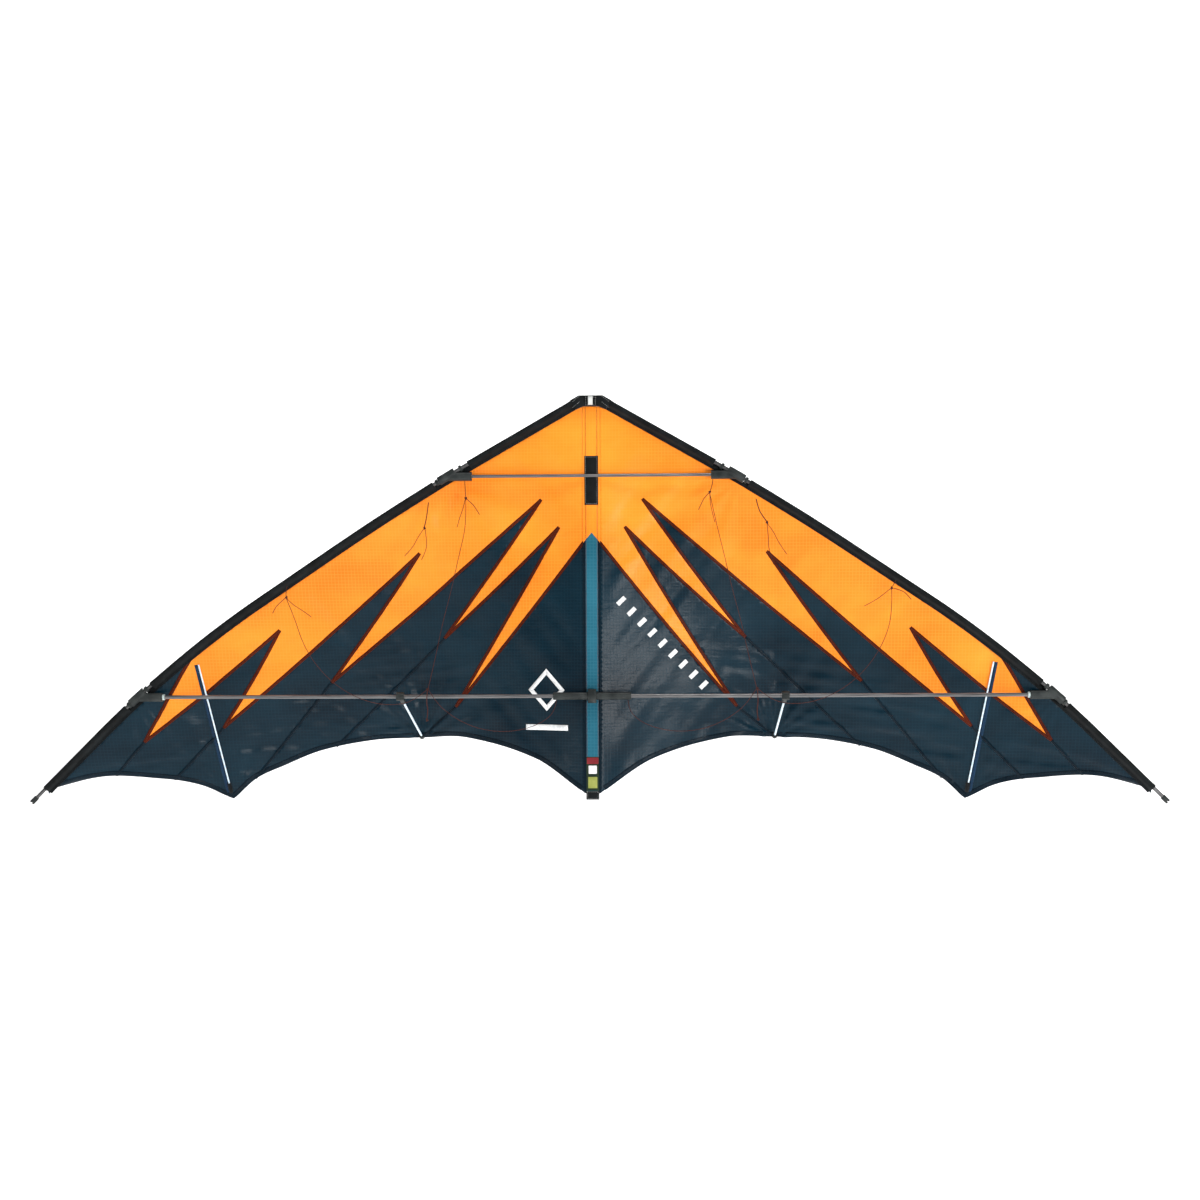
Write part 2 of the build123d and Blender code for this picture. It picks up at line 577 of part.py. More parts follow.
def centre():
    """The pieces on the centre line."""
    pieces = {}
    strip_bottom = -TRAILING_EDGE[0][1] * HEIGHT
    spine_bottom = strip_bottom - SPINE_TAIL_REACH
    spine_path = Line((0, SPINE_Y, -SPINE_TOP_DROP), (0, SPINE_Y, spine_bottom))
    pieces["spine"] = tube(spine_path, SPAR_R, SPAR_BORE_R)
    caps = []
    for end, way in ((-SPINE_TOP_DROP, 1), (spine_bottom, -1)):
        cap = bar(Vector(0, SPINE_Y, end - way * (CAP_LENGTH - CAP_FLOOR)), (0, 0, way), CAP_LENGTH, CAP_R)
        caps.append(cap - bar(Vector(0, SPINE_Y, end - way * 20), (0, 0, way), 20, SPAR_R + RUNNING_GAP))
    pieces["spine_end_caps"] = Compound(children=caps)

    top = -NOSE_PATCH_DROP
    middle = (top + strip_bottom) / 2
    strip = Pos(0, SAIL_Y, middle) * Box(2 * STRIP_HALF_WIDTH, CLOTH, top - strip_bottom)
    pocket_bottom = spine_bottom + CAP_LENGTH
    pocket = bar(Vector(0, SPINE_Y, top), (0, 0, -1), top - pocket_bottom, POCKET_R)
    hole = bar(Vector(0, SPINE_Y, top + 5), (0, 0, -1), HEIGHT, POCKET_HOLE_R)
    sleeve = strip + pocket - hole
    window = Pos(0, SPINE_Y, -LOWER_SPREADER_DROP)
    sleeve -= window * Box(2 * T_HUB_HALF_WIDTH + 1, 20, 2 * T_WINDOW_HALF_HEIGHT)
    pieces["spine_sleeve"] = sleeve

    front = SAIL_Y - CLOTH / 2 - PATCH_THICKNESS / 2
    patch_z = -CENTRE_PATCH_TOP_DROP - CENTRE_PATCH_HEIGHT / 2
    pieces["centre_patch"] = Pos(0, front, patch_z) * Box(
        2 * STRIP_HALF_WIDTH, PATCH_THICKNESS, CENTRE_PATCH_HEIGHT)
    label_bottom = strip_bottom + LABEL_RISE
    label_top = min(label_bottom + LABEL_HEIGHT, -LOWER_SPREADER_DROP - T_WINDOW_HALF_HEIGHT - PATCH_THICKNESS)
    pieces["label_patch"] = Pos(0, front, (label_bottom + label_top) / 2) * Box(
        2 * LABEL_HALF_WIDTH, PATCH_THICKNESS, label_top - label_bottom)

    nose = prism(nose_outline(), -SLEEVE_R, NOSE_BACK_Y)
    for side in (1, -1):
        start = leading_edge @ 0
        along = leading_edge % 0
        start = Vector(side * start.X, 0, start.Z)
        along = Vector(side * along.X, 0, along.Z)
        nose -= bar(start - along * 0.2, along, 60, SPAR_R + RUNNING_GAP)
    nose -= bar(Vector(0, SPINE_Y, -30), (0, 0, 1), 60, CAP_R + 0.2)
    pieces["nose_patch"] = nose

    loop_y = -SLEEVE_R - LOOP_DEPTH / 2
    face = Plane(origin=(-LOOP_WIDTH / 2, loop_y, -LOOP_DROP), x_dir=(0, 1, 0), z_dir=(1, 0, 0))
    ring = RectangleRounded(LOOP_DEPTH, LOOP_HEIGHT, 4.0)
    ring -= RectangleRounded(LOOP_DEPTH - 2 * LOOP_WEBBING, LOOP_HEIGHT - 2 * LOOP_WEBBING, 2.8)
    pieces["hang_loop"] = extrude(face * ring, LOOP_WIDTH)

    drop = -LOWER_SPREADER_DROP
    arm_place = Plane(origin=(-T_ARM_LENGTH, 0, drop), x_dir=(0, 1, 0), z_dir=(1, 0, 0))
    section = RectangleRounded(2 * FITTING_HALF_DEPTH, 2 * T_HALF_HEIGHT, FITTING_CORNER_R)
    t_piece = extrude(arm_place * section, 2 * T_ARM_LENGTH)
    hub_depth = SPINE_Y + FITTING_HALF_DEPTH
    hub = Pos(0, (SPINE_Y - FITTING_HALF_DEPTH) / 2, drop) * Box(
        2 * T_HUB_HALF_WIDTH, hub_depth, 2 * T_HUB_HALF_HEIGHT)
    t_piece += hub
    t_piece += bar(Vector(0, SPINE_Y, drop - T_HUB_HALF_HEIGHT), (0, 0, 1), 2 * T_HUB_HALF_HEIGHT,
                   T_HUB_HALF_WIDTH)
    t_piece -= bar(Vector(0, SPINE_Y, drop - 40), (0, 0, 1), 80, SPAR_R + RUNNING_GAP)
    for side in (1, -1):
        low = T_BORE_START if side > 0 else -T_ARM_LENGTH - 5
        t_piece -= rod_along_x(low, low + T_ARM_LENGTH + 5 - T_BORE_START, SPAR_R + RUNNING_GAP, z=drop)
    pieces["centre_t"] = t_piece

    rod_end = UPPER_STOP - ROD_END_GAP
    spreader = rod_along_x(-rod_end, rod_end, UPPER_SPREADER_R, z=-UPPER_SPREADER_DROP)
    spreader -= rod_along_x(-HALF_SPAN, HALF_SPAN, UPPER_SPREADER_BORE_R, z=-UPPER_SPREADER_DROP)
    pieces["upper_spreader"] = spreader

    tab_low = strip_bottom - TAIL_TAB_REACH
    tab_top = strip_bottom + 3.5
    pieces["tail_tab"] = Pos(0, SAIL_Y - CLOTH / 2 - STRAP_THICKNESS / 2, (tab_low + tab_top) / 2) * Box(
        2 * TAIL_TAB_HALF_WIDTH, STRAP_THICKNESS, tab_top - tab_low)
    floor_front = SAIL_Y - CLOTH / 2 + 0.3
    floor = Pos(0, (floor_front + STRAP_BACK_Y) / 2, tab_low + STRAP_THICKNESS / 2) * Box(
        2 * TAIL_TAB_HALF_WIDTH - 2, STRAP_BACK_Y - floor_front, STRAP_THICKNESS)
    rise = Pos(0, STRAP_BACK_Y - STRAP_THICKNESS / 2, tab_low + STRAP_RISE / 2) * Box(
        2 * TAIL_TAB_HALF_WIDTH - 2, STRAP_THICKNESS, STRAP_RISE)
    pieces["tail_strap"] = floor + rise
    return pieces


def main():
    os.makedirs("parts", exist_ok=True)
    to_origin = Pos(0, SLEEVE_R + LOOP_DEPTH / 2, LOOP_DROP)
    for name, shape in centre().items():
        export_step(to_origin * shape, f"parts/{name}.step")
    for name, shape in wing().items():
        export_step(to_origin * shape, f"parts/right_{name}.step")
        export_step(to_origin * mirror(shape, about=Plane.YZ), f"parts/left_{name}.step")
    for name, points in (("upper", UPPER_LEG), ("outer", OUTER_LEG), ("inner", INNER_LEG)):
        radii = ", ".join(f"{r:.0f}" for r in tangent_arcs(points))
        print(f"{name} bridle leg: {route(points).length:.0f} mm long, radii {radii} mm")


main()
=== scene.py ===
from math import atan2, cos, exp, hypot, pi, radians, sin
import bmesh
import bpy
from mathutils import Matrix, Vector, noise
from mathutils.geometry import delaunay_2d_cdt
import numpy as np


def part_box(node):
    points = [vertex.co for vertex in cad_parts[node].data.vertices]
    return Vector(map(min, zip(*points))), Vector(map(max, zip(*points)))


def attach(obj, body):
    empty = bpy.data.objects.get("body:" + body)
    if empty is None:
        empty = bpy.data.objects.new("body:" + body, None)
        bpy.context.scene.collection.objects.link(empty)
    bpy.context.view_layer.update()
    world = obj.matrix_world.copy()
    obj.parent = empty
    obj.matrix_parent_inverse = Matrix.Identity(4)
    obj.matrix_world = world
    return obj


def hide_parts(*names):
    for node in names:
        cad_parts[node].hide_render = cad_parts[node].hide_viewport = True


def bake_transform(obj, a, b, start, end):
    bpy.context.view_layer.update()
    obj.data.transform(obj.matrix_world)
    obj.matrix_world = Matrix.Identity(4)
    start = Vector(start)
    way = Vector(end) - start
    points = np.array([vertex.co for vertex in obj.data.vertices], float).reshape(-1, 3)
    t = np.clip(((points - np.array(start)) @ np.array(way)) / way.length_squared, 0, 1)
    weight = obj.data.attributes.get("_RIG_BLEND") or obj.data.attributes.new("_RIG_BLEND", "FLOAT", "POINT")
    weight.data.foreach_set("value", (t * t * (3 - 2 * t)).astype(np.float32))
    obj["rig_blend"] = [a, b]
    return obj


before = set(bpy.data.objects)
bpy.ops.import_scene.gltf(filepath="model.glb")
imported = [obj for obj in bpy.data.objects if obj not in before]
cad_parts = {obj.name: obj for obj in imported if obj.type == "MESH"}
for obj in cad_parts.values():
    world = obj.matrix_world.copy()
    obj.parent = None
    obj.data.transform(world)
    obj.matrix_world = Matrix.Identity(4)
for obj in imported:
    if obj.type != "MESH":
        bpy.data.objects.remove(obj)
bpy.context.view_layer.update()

# ---------------------------------------------------------------------------------------------------
# The drawing. Sizes are in millimetres from the top edge of the nose, in the plane of the spars, as a
# sailmaker measures them: X along the span, Y back through the sail, Z up. The frame places that zero.
half_span = 900.0
height = 643.0
sides = {"left": -1, "right": 1}
_, nose_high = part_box("nose_patch")
spar_low, spar_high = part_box("right_lower_spreader")
drawing_zero = Vector((0.0, (spar_low[1] + spar_high[1]) / 2, nose_high[2]))


def place(x, y, z):
    """A drawn point, in the frame's metres."""
    return drawing_zero + Vector((x, y, z)) / 1000


# ---------------------------------------------------------------------------------------------------
# The room: a white sweep of floor and wall, a long lens level with the middle of the sail and a little
# to the right of it, one large soft light on that side, and weaker ones round about.
lens = 70.0
distance = 3.70
aim = place(13.2, 0, -324.5)
aside = radians(3.0)
lean = radians(0.30)
camera_data = bpy.data.cameras.new("camera")
camera_data.lens = lens
camera_data.sensor_width = 36
camera = bpy.data.objects.new("camera", camera_data)
bpy.context.scene.collection.objects.link(camera)
camera.location = aim + distance * Vector((sin(aside), -cos(aside), 0))
looking = (aim - camera.location).to_track_quat("-Z", "Y")
camera.rotation_euler = (looking.to_matrix() @ Matrix.Rotation(-lean, 3, "Z")).to_euler()
bpy.context.scene.camera = camera
bpy.context.scene.view_settings.view_transform = "Standard"

sweep_floor = -1.42
sweep_wall = 6.2
sweep_bend = 1.0
sweep_line = [(-9.0, sweep_floor)]
for step in range(13):
    turn = pi / 2 * step / 12
    sweep_line.append((sweep_wall - sweep_bend + sweep_bend * sin(turn),
                       sweep_floor + sweep_bend - sweep_bend * cos(turn)))
sweep_line.append((sweep_wall, 7.0))
sweep_mesh = bpy.data.meshes.new("sweep")
sweep_mesh.from_pydata(
    [(x, y, z) for x in (-9, 9) for y, z in sweep_line], [],
    [(i, i + 1, i + 1 + len(sweep_line), i + len(sweep_line)) for i in range(len(sweep_line) - 1)])
for face in sweep_mesh.polygons:
    face.use_smooth = True
sweep = bpy.data.objects.new("sweep", sweep_mesh)
bpy.context.scene.collection.objects.link(sweep)
paper = bpy.data.materials.new("white_paper")
paper.use_nodes = True
paper_shader = paper.node_tree.nodes["Principled BSDF"]
paper_shader.inputs["Base Color"].default_value = (0.93, 0.93, 0.93, 1)
paper_shader.inputs["Roughness"].default_value = 0.9
paper_shader.inputs["Emission Color"].default_value = (1, 1, 1, 1)
paper_shader.inputs["Emission Strength"].default_value = 0.85
sweep_mesh.materials.append(paper)

world = bpy.data.worlds.new("studio")
bpy.context.scene.world = world
world.use_nodes = True
sky = world.node_tree.nodes["Background"]
sky.inputs["Color"].default_value = (1, 1, 1, 1)
seen = world.node_tree.nodes.new("ShaderNodeLightPath")
brightness = world.node_tree.nodes.new("ShaderNodeMath")
brightness.operation = "MULTIPLY_ADD"
brightness.inputs[1].default_value = 0.88
brightness.inputs[2].default_value = 0.17
world.node_tree.links.new(seen.outputs["Is Camera Ray"], brightness.inputs[0])
world.node_tree.links.new(brightness.outputs[0], sky.inputs["Strength"])


def soft_light(name, spot, size, power, colour=(1, 1, 1)):
    """A square studio light that faces the middle of the sail."""
    data = bpy.data.lights.new(name, "AREA")
    data.shape = "SQUARE"
    data.size = size
    data.energy = power
    data.color = colour
    light = bpy.data.objects.new(name, data)
    bpy.context.scene.collection.objects.link(light)
    light.location = spot
    light.rotation_euler = (aim - Vector(spot)).to_track_quat("-Z", "Y").to_euler()


soft_light("key_light", (2.55, -3.05, -0.75), 1.3, 108)
soft_light("fill_light", (-1.6, -3.8, 1.2), 1.2, 15)
soft_light("raking_light", (-3.6, -1.25, 0.1), 0.7, 26)
soft_light("top_light", (0.2, -1.3, 2.4), 0.7, 38)
soft_light("back_light", (0.4, 2.4, 1.2), 2.0, 14)


# ---------------------------------------------------------------------------------------------------
# The bridle: braided dark line, a millimetre thick, in three legs a wing. Leaders come from the spar
# and from the upper spreader's socket; overhand knots hold the legs, whose spare ends hang free.
line_radius = 0.5
leader_radius = 0.8


def new_material(name, colour, roughness, **sockets):
    """A plain material to build on: (material, its nodes, its links, its shader)."""
    made = bpy.data.materials.new(name)
    made.use_nodes = True
    made.diffuse_color = (*colour, 1)
    nodes = made.node_tree.nodes
    shader = nodes["Principled BSDF"]
    shader.inputs["Base Color"].default_value = (*colour, 1)
    shader.inputs["Roughness"].default_value = roughness
    for socket, value in sockets.items():
        shader.inputs[socket.replace("_", " ")].default_value = value
    return made, nodes, made.node_tree.links, shader


def object_pattern(nodes, links, kind, stretch=(1, 1, 1), turn=0.0, **settings):
    """A texture node on Object coordinates, stretched and turned about Y."""
    coordinates = nodes.new("ShaderNodeTexCoord")
    mapping = nodes.new("ShaderNodeMapping")
    mapping.inputs["Scale"].default_value = stretch
    mapping.inputs["Rotation"].default_value = (0, turn, 0)
    texture = nodes.new(kind)
    for name, value in settings.items():
        if name in texture.inputs:
            texture.inputs[name].default_value = value
        else:
            setattr(texture, name, value)
    links.new(coordinates.outputs["Object"], mapping.inputs["Vector"])
    links.new(mapping.outputs["Vector"], texture.inputs["Vector"])
    return texture


def shade_between(nodes, links, factor, dark, light, low=0.35, high=0.65):
    """A colour that goes from dark to light as a pattern goes from low to high."""
    ramp = nodes.new("ShaderNodeValToRGB")
    ramp.color_ramp.elements[0].position = low
    ramp.color_ramp.elements[0].color = (*dark, 1)
    ramp.color_ramp.elements[1].position = high
    ramp.color_ramp.elements[1].color = (*light, 1)
    links.new(factor, ramp.inputs["Fac"])
    return ramp.outputs["Color"]


def raised(nodes, links, shader, height_output, depth, strength=1.0):
    """Bump from a pattern, on top of any bump that the shader has already."""
    bump = nodes.new("ShaderNodeBump")
    bump.inputs["Distance"].default_value = depth
    bump.inputs["Strength"].default_value = strength
    links.new(height_output, bump.inputs["Height"])
    normal = shader.inputs["Normal"]
    if normal.is_linked:
        links.new(normal.links[0].from_socket, bump.inputs["Normal"])
    links.new(bump.outputs["Normal"], normal)


def new_piece(name, mesh, material, body=None):
    """A finished mesh as a piece of the kite."""
    piece = bpy.data.objects.new(name, mesh)
    bpy.context.scene.collection.objects.link(piece)
    for entry in material if isinstance(material, list) else [material]:
        mesh.materials.append(entry)
    if body:
        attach(piece, body)
    return piece


bridle_braid, nodes, links, shader = new_material("bridle_braid", (0.03, 0.006, 0.005), 0.75,
                                                  Sheen_Weight=0.04,
                                                   Specular_IOR_Level=0.2)
strands = object_pattern(nodes, links, "ShaderNodeTexWave", (1, 1, 1), 0.6, bands_direction="DIAGONAL",
                         Scale=420.0, Distortion=2.0)
links.new(shade_between(nodes, links, strands.outputs["Fac"], (0.018, 0.005, 0.005), (0.075, 0.016, 0.010)),
          shader.inputs["Base Color"])
raised(nodes, links, shader, strands.outputs["Fac"], 0.00015, 0.6)

legs = {
    "upper": ([(193.5, -6, -160.5), (198, -8, -204), (210, -9, -252), (222, -9.5, -306), (237, -10, -361),
               (248, -10.5, -414), (260, -11.4, -463.3)], 306),
    "outer": ([(478.6, -6.4, -315), (474, -8, -350), (459, -10, -396), (431, -11, -437), (394, -12, -468),
               (350, -12, -487), (309, -12, -490), (280, -12, -481), (263, -11.5, -466.3)], 320),
    "inner": ([(57, -1, -482.9), (58, -6, -497), (72, -9, -514), (100, -10, -527), (135, -10.5, -533),
               (172, -11, -530), (207, -11, -517), (235, -11, -498), (250, -11.5, -481),
               (259.3, -11.5, -466.2)], 249),
}
knots = {
    "right": {"upper": (188, -6, -155), "middle": (278, -8, -203.5), "outer": (473, -6.5, -308)},
    "left": {"upper": (199, -6, -162), "middle": (265, -8, -209), "outer": (487, -6.5, -318)},
}
tow_knot = (261, -11.5, -465)
tow_end = (262, -12, -513.5)
spare_ends = {
    "right": {
        "upper_first": [(188, -7, -157), (188.5, -8, -172), (192, -8.5, -188), (196, -8, -203)],
        "middle_leader": [(261, -3.8, -166), (263.5, -7, -178), (269, -7.5, -191), (277.5, -8, -202)],
        "middle_first": [(279, -8, -206), (289, -8, -219), (296, -8, -236), (309, -8, -254)],
        "middle_second": [(278, -8, -206), (280, -8.5, -226), (280, -8, -246), (288, -8, -270)],
        "outer_first": [(471, -7, -309), (460, -8, -318), (446, -8, -328), (430, -8, -336)],
        "tow": [(261.2, -11.6, -466), (263, -12, -484), (260, -12, -500), (262, -12, -512)],
    },
    "left": {
        "upper_first": [(200, -7, -164), (203, -8, -178), (209, -8.5, -193), (213, -8, -208)],
        "middle_leader": [(259, -3.8, -168), (260, -7, -180), (262, -7.5, -194), (265, -8, -207)],
        "middle_first": [(267, -8, -211), (276, -8, -224), (284, -8, -240), (297, -8, -253)],
        "middle_second": [(264, -8, -211), (261, -8.5, -230), (263, -8, -246), (270, -8, -259)],
        "outer_first": [(486, -7, -320), (476, -8, -330), (462, -8, -338), (447, -8, -349)],
        "tow": [(261.2, -11.6, -466), (263, -12, -484), (260, -12, -500), (262, -12, -512)],
    },
}
short_ends = {
    "right": [[(193, -1, -134.5), (192, -3.5, -145), (188.5, -5.8, -153.5)],
              [(187, -7, -156), (180, -8, -163), (175, -8.5, -172), (170, -8, -183)],
              [(475, -7, -308), (489, -8, -312), (496, -8, -317), (503, -8, -326)],
              [(480, -5, -296), (477, -7, -301), (473.5, -6.8, -306.5)]],
    "left": [[(201, -1, -134.5), (200.5, -3.5, -147), (199, -5.8, -160)],
             [(198, -7, -163), (189, -8, -170), (183, -8.5, -178), (177, -8, -188)],
             [(489, -7, -319), (498, -8, -327), (505, -8, -334), (509, -8, -343)],
             [(486, -5, -300), (488, -7, -308), (487.5, -6.8, -316.5)]],
}


def cord_curve(name, points, radius, sign):
    """One line of the bridle on one wing: a smooth curve through the open air between its points."""
    data = bpy.data.curves.new(name, "CURVE")
    data.dimensions = "3D"
    data.bevel_depth = radius / 1000
    data.bevel_resolution = 3
    data.resolution_u = 8
    data.use_fill_caps = True
    spline = data.splines.new("NURBS")
    spline.points.add(len(points) - 1)
    for control, (x, y, z) in zip(spline.points, points):
        control.co = (*place(sign * x, y, z), 1)
    spline.order_u = 3
    spline.use_endpoint_u = True
    return data


def knot_loops(middle, size, sign, turn):
    """An overhand knot pulled tight: a trefoil of line round a middle."""
    loops = []
    for step in range(36):
        a = 2 * pi * step / 36
        x = sin(a) + 2 * sin(2 * a)
        y = cos(a) - 2 * cos(2 * a)
        z = -sin(3 * a)
        x, y = x * cos(turn) - y * sin(turn), x * sin(turn) + y * cos(turn)
        loops.append(place(sign * (middle[0] + size * 0.30 * x), middle[1] + size * 0.42 * z,
                           middle[2] + size * 0.36 * y))
    return loops


def knotted(name, side, sign):
    """Every knot of one wing, with the ends too short to be lines of their own, as one mesh."""
    data = bpy.data.curves.new(name, "CURVE")
    data.dimensions = "3D"
    data.bevel_depth = line_radius * 1.15 / 1000
    data.bevel_resolution = 3
    data.resolution_u = 4
    data.use_fill_caps = True
    middles = list(knots[side].values()) + [tow_knot, tow_end]
    for number, middle in enumerate(middles):
        spline = data.splines.new("NURBS")
        loops = knot_loops(middle, 2.1, sign, 0.7 * number)
        spline.points.add(len(loops) - 1)
        for control, spot in zip(spline.points, loops):
            control.co = (*spot, 1)
        spline.order_u = 3
        spline.use_cyclic_u = True
    for points in short_ends[side]:
        spline = data.splines.new("NURBS")
        spline.points.add(len(points) - 1)
        for control, (x, y, z) in zip(spline.points, points):
            control.co = (*place(sign * x, y, z), 1)
        spline.order_u = 3
        spline.use_endpoint_u = True
    holder = bpy.data.objects.new(name, data)
    bpy.context.scene.collection.objects.link(holder)
    bpy.context.view_layer.update()
    depsgraph = bpy.context.evaluated_depsgraph_get()
    mesh = bpy.data.meshes.new_from_object(holder.evaluated_get(depsgraph))
    bpy.data.objects.remove(holder)
    for polygon in mesh.polygons:
        polygon.use_smooth = True
    return mesh


for side, sign in sides.items():
    knot_piece = new_piece(f"{side}_knots", knotted(f"{side}_knots", side, sign), bridle_braid,
                           f"{side}_wing")
    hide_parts(f"{side}_bridle_knots")
    for leg, (points_along, length) in legs.items():
        if leg != "inner":
            x, y, z = knots[side][leg]
            points_along = [(x, y, z - 2)] + points_along[1:]
        line = new_piece(f"{side}_{leg}_leg",
                         cord_curve(f"{side}_{leg}_leg", points_along, line_radius, sign),
                         bridle_braid, f"{side}_wing")
        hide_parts(f"{side}_{leg}_bridle_leg")
        x, y, z = points_along[0]
    for end, points_along in spare_ends[side].items():
        radius = leader_radius if end in ("middle_leader", "tow") else line_radius
        line = new_piece(f"{side}_{end}_end", cord_curve(f"{side}_{end}_end", points_along, radius, sign),
                         bridle_braid, f"{side}_wing")
        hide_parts(f"{side}_bridle_knots")
        x, y, z = points_along[0]

# ---------------------------------------------------------------------------------------------------
# The carbon tubes: spine, leading-edge spars, spreaders and ferrules. Pultruded and ground tube, nearly
# black, with fine fibres along its length under a thin satin lacquer.
def carbon_tube(name, stretch, painted_sheen_lift=1.0):
    made, nodes, links, shader = new_material(
        name, (0.022, 0.021, 0.022), 0.30, Coat_Weight=0.5, Coat_Roughness=0.16, Specular_IOR_Level=0.6)
    fibres = object_pattern(nodes, links, "ShaderNodeTexNoise", stretch, Scale=900.0, Detail=3.0)
    # A factor over 1 makes both shades paler: a painted sheen of the white studio on the lacquer.
    dark, light = [c * painted_sheen_lift for c in (0.012, 0.012, 0.013)], [c * painted_sheen_lift for c in (0.05, 0.05, 0.051)]
    colour = shade_between(nodes, links, fibres.outputs["Fac"], dark, light)
    links.new(colour, shader.inputs["Base Color"])
    raised(nodes, links, shader, fibres.outputs["Fac"], 0.0001, 0.35)
    return made


def finish_node(name, material):
    """A CAD piece keeps its shape and takes a material."""
    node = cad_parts[name]
    if not node.material_slots:
        node.data.materials.append(material)
    for material_slot in node.material_slots:
        material_slot.material = material
    return node


# The spreaders' carbon is painted 2.2 times paler: a painted sheen of the white studio along the level tubes.
carbon_level_painted_sheen = carbon_tube("carbon_level_painted_sheen", (0.03, 1, 1), 2.2)
carbon_upright = carbon_tube("carbon_upright", (1, 1, 0.03))
carbon_sloping = carbon_tube("carbon_sloping", (0.2, 1, 0.2))
finish_node("spine", carbon_upright)
finish_node("upper_spreader", carbon_level_painted_sheen)
for side in sides:
    finish_node(f"{side}_lower_spreader", carbon_level_painted_sheen)
    finish_node(f"{side}_ferrule", carbon_sloping)
    for rod in ("upper_spar", "lower_spar"):
        finish_node(f"{side}_{rod}", carbon_sloping)

# ---------------------------------------------------------------------------------------------------
# The moulded fittings: connectors on the leading edge, centre T, stand-off rings, cups, clips, end caps
# and tip nocks. Soft black rubber and vinyl with rounded edges, a faint mould grain and a dusty bloom.
edge_round = {
    "upper_connector": 1.1, "lower_connector": 1.1, "standoff_connector": 0.8,
    "trailing_edge_cup": 0.9, "stopper_clips": 0.5, "tip_nock": 0.35,
}
rubber, nodes, links, shader = new_material(
    "moulded_rubber", (0.012, 0.014, 0.014), 0.46, Specular_IOR_Level=0.22)
bloom = object_pattern(nodes, links, "ShaderNodeTexNoise", Scale=55.0, Detail=4.0)
links.new(shade_between(nodes, links, bloom.outputs["Fac"], (0.008, 0.011, 0.011), (0.030, 0.035, 0.034)),
          shader.inputs["Base Color"])
grain = object_pattern(nodes, links, "ShaderNodeTexNoise", Scale=1600.0, Detail=2.0)
raised(nodes, links, shader, grain.outputs["Fac"], 0.00012, 0.5)


def smooth(mesh, sharp_over=radians(38)):
    """Smooth shading, with the edges that turn by more than an angle left sharp."""
    for polygon in mesh.polygons:
        polygon.use_smooth = True
    mesh.set_sharp_from_angle(angle=sharp_over)


def moulded(node, width, keep=None):
    """A copy of a CAD piece as one clean mesh with rounded edges. keep is a stretch of X to cut it to."""
    work = bmesh.new()
    work.from_mesh(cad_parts[node].data)
    bmesh.ops.remove_doubles(work, verts=work.verts, dist=2e-6)
    bmesh.ops.dissolve_limit(work, angle_limit=radians(2), verts=work.verts, edges=work.edges)
    for bound, way in zip(keep or (), (-1, 1)):
        cut = bmesh.ops.bisect_plane(
            work, geom=work.verts[:] + work.edges[:] + work.faces[:], plane_co=(bound, 0, 0),
            plane_no=(way, 0, 0), clear_outer=True)
        rim = [item for item in cut["geom_cut"] if isinstance(item, bmesh.types.BMEdge)]
        bmesh.ops.holes_fill(work, edges=rim)
    sharp = [e for e in work.edges if len(e.link_faces) == 2 and e.calc_face_angle(0) > radians(35)]
    bmesh.ops.bevel(work, geom=sharp, offset=width / 1000, segments=3, profile=0.5, affect="EDGES",
                    clamp_overlap=True)
    bmesh.ops.triangulate(work, faces=[f for f in work.faces if len(f.verts) > 4])
    mesh = bpy.data.meshes.new(node)
    work.to_mesh(mesh)
    work.free()
    smooth(mesh)
    return mesh


for side in sides:
    for fitting, width in edge_round.items():
        body = f"{side}_standoff" if fitting == "standoff_connector" else f"{side}_wing"
        name = f"{side}_{fitting}"
        piece = new_piece(name + "_moulding", moulded(name, width), rubber, body)
        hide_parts(name)
finish_node("spine_end_caps", rubber)

t_hub_half = 0.0072
hub = new_piece("centre_t_hub", moulded("centre_t", 1.0, (-t_hub_half, t_hub_half)), rubber, "centre")
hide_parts("centre_t")
for side, sign in sides.items():
    ends = sorted((sign * t_hub_half, sign * 0.2))
    arm = new_piece(f"{side}_centre_t_arm", moulded("centre_t", 1.0, ends), rubber, None)
    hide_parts("centre_t")
    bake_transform(arm, "centre", f"{side}_wing", (sign * 0.009, 0, 0), (sign * 0.024, 0, 0))

# ---------------------------------------------------------------------------------------------------
# The sail's shape. Each wing is one curved surface: straight battens of cloth run from the leading edge
# back to a trailing edge that the stand-off pushes away, and the cloth creases where it is pulled.
leading_edge = [(0.0156, 0.005), (0.3244, 0.2512), (0.6678, 0.5731), (0.8189, 0.7481), (1.0, 1.0)]
trailing_edge = [
    (0.0129, 0.982, 0.0), (0.1037, 0.9014, 47.0), (0.2344, 0.8533, 107.0), (0.3242, 0.8568, 150.0),
    (0.4142, 0.8625, 137.0), (0.5056, 0.8868, 122.0), (0.5733, 0.9244, 114.0), (0.6256, 0.9588, 104.0),
    (0.6633, 1.0072, 98.0), (0.7222, 0.9673, 76.0), (0.79, 0.9502, 54.0), (0.8844, 0.9428, 27.0),
    (0.9756, 0.972, 0.0),
]
corner_of_batten = 8
sail_y = 6.0
fold_edge = 11.85
tuck = 8.7
sleeve_hem = 11.9


def plan(fraction_x, fraction_z):
    return fraction_x * half_span, -fraction_z * height


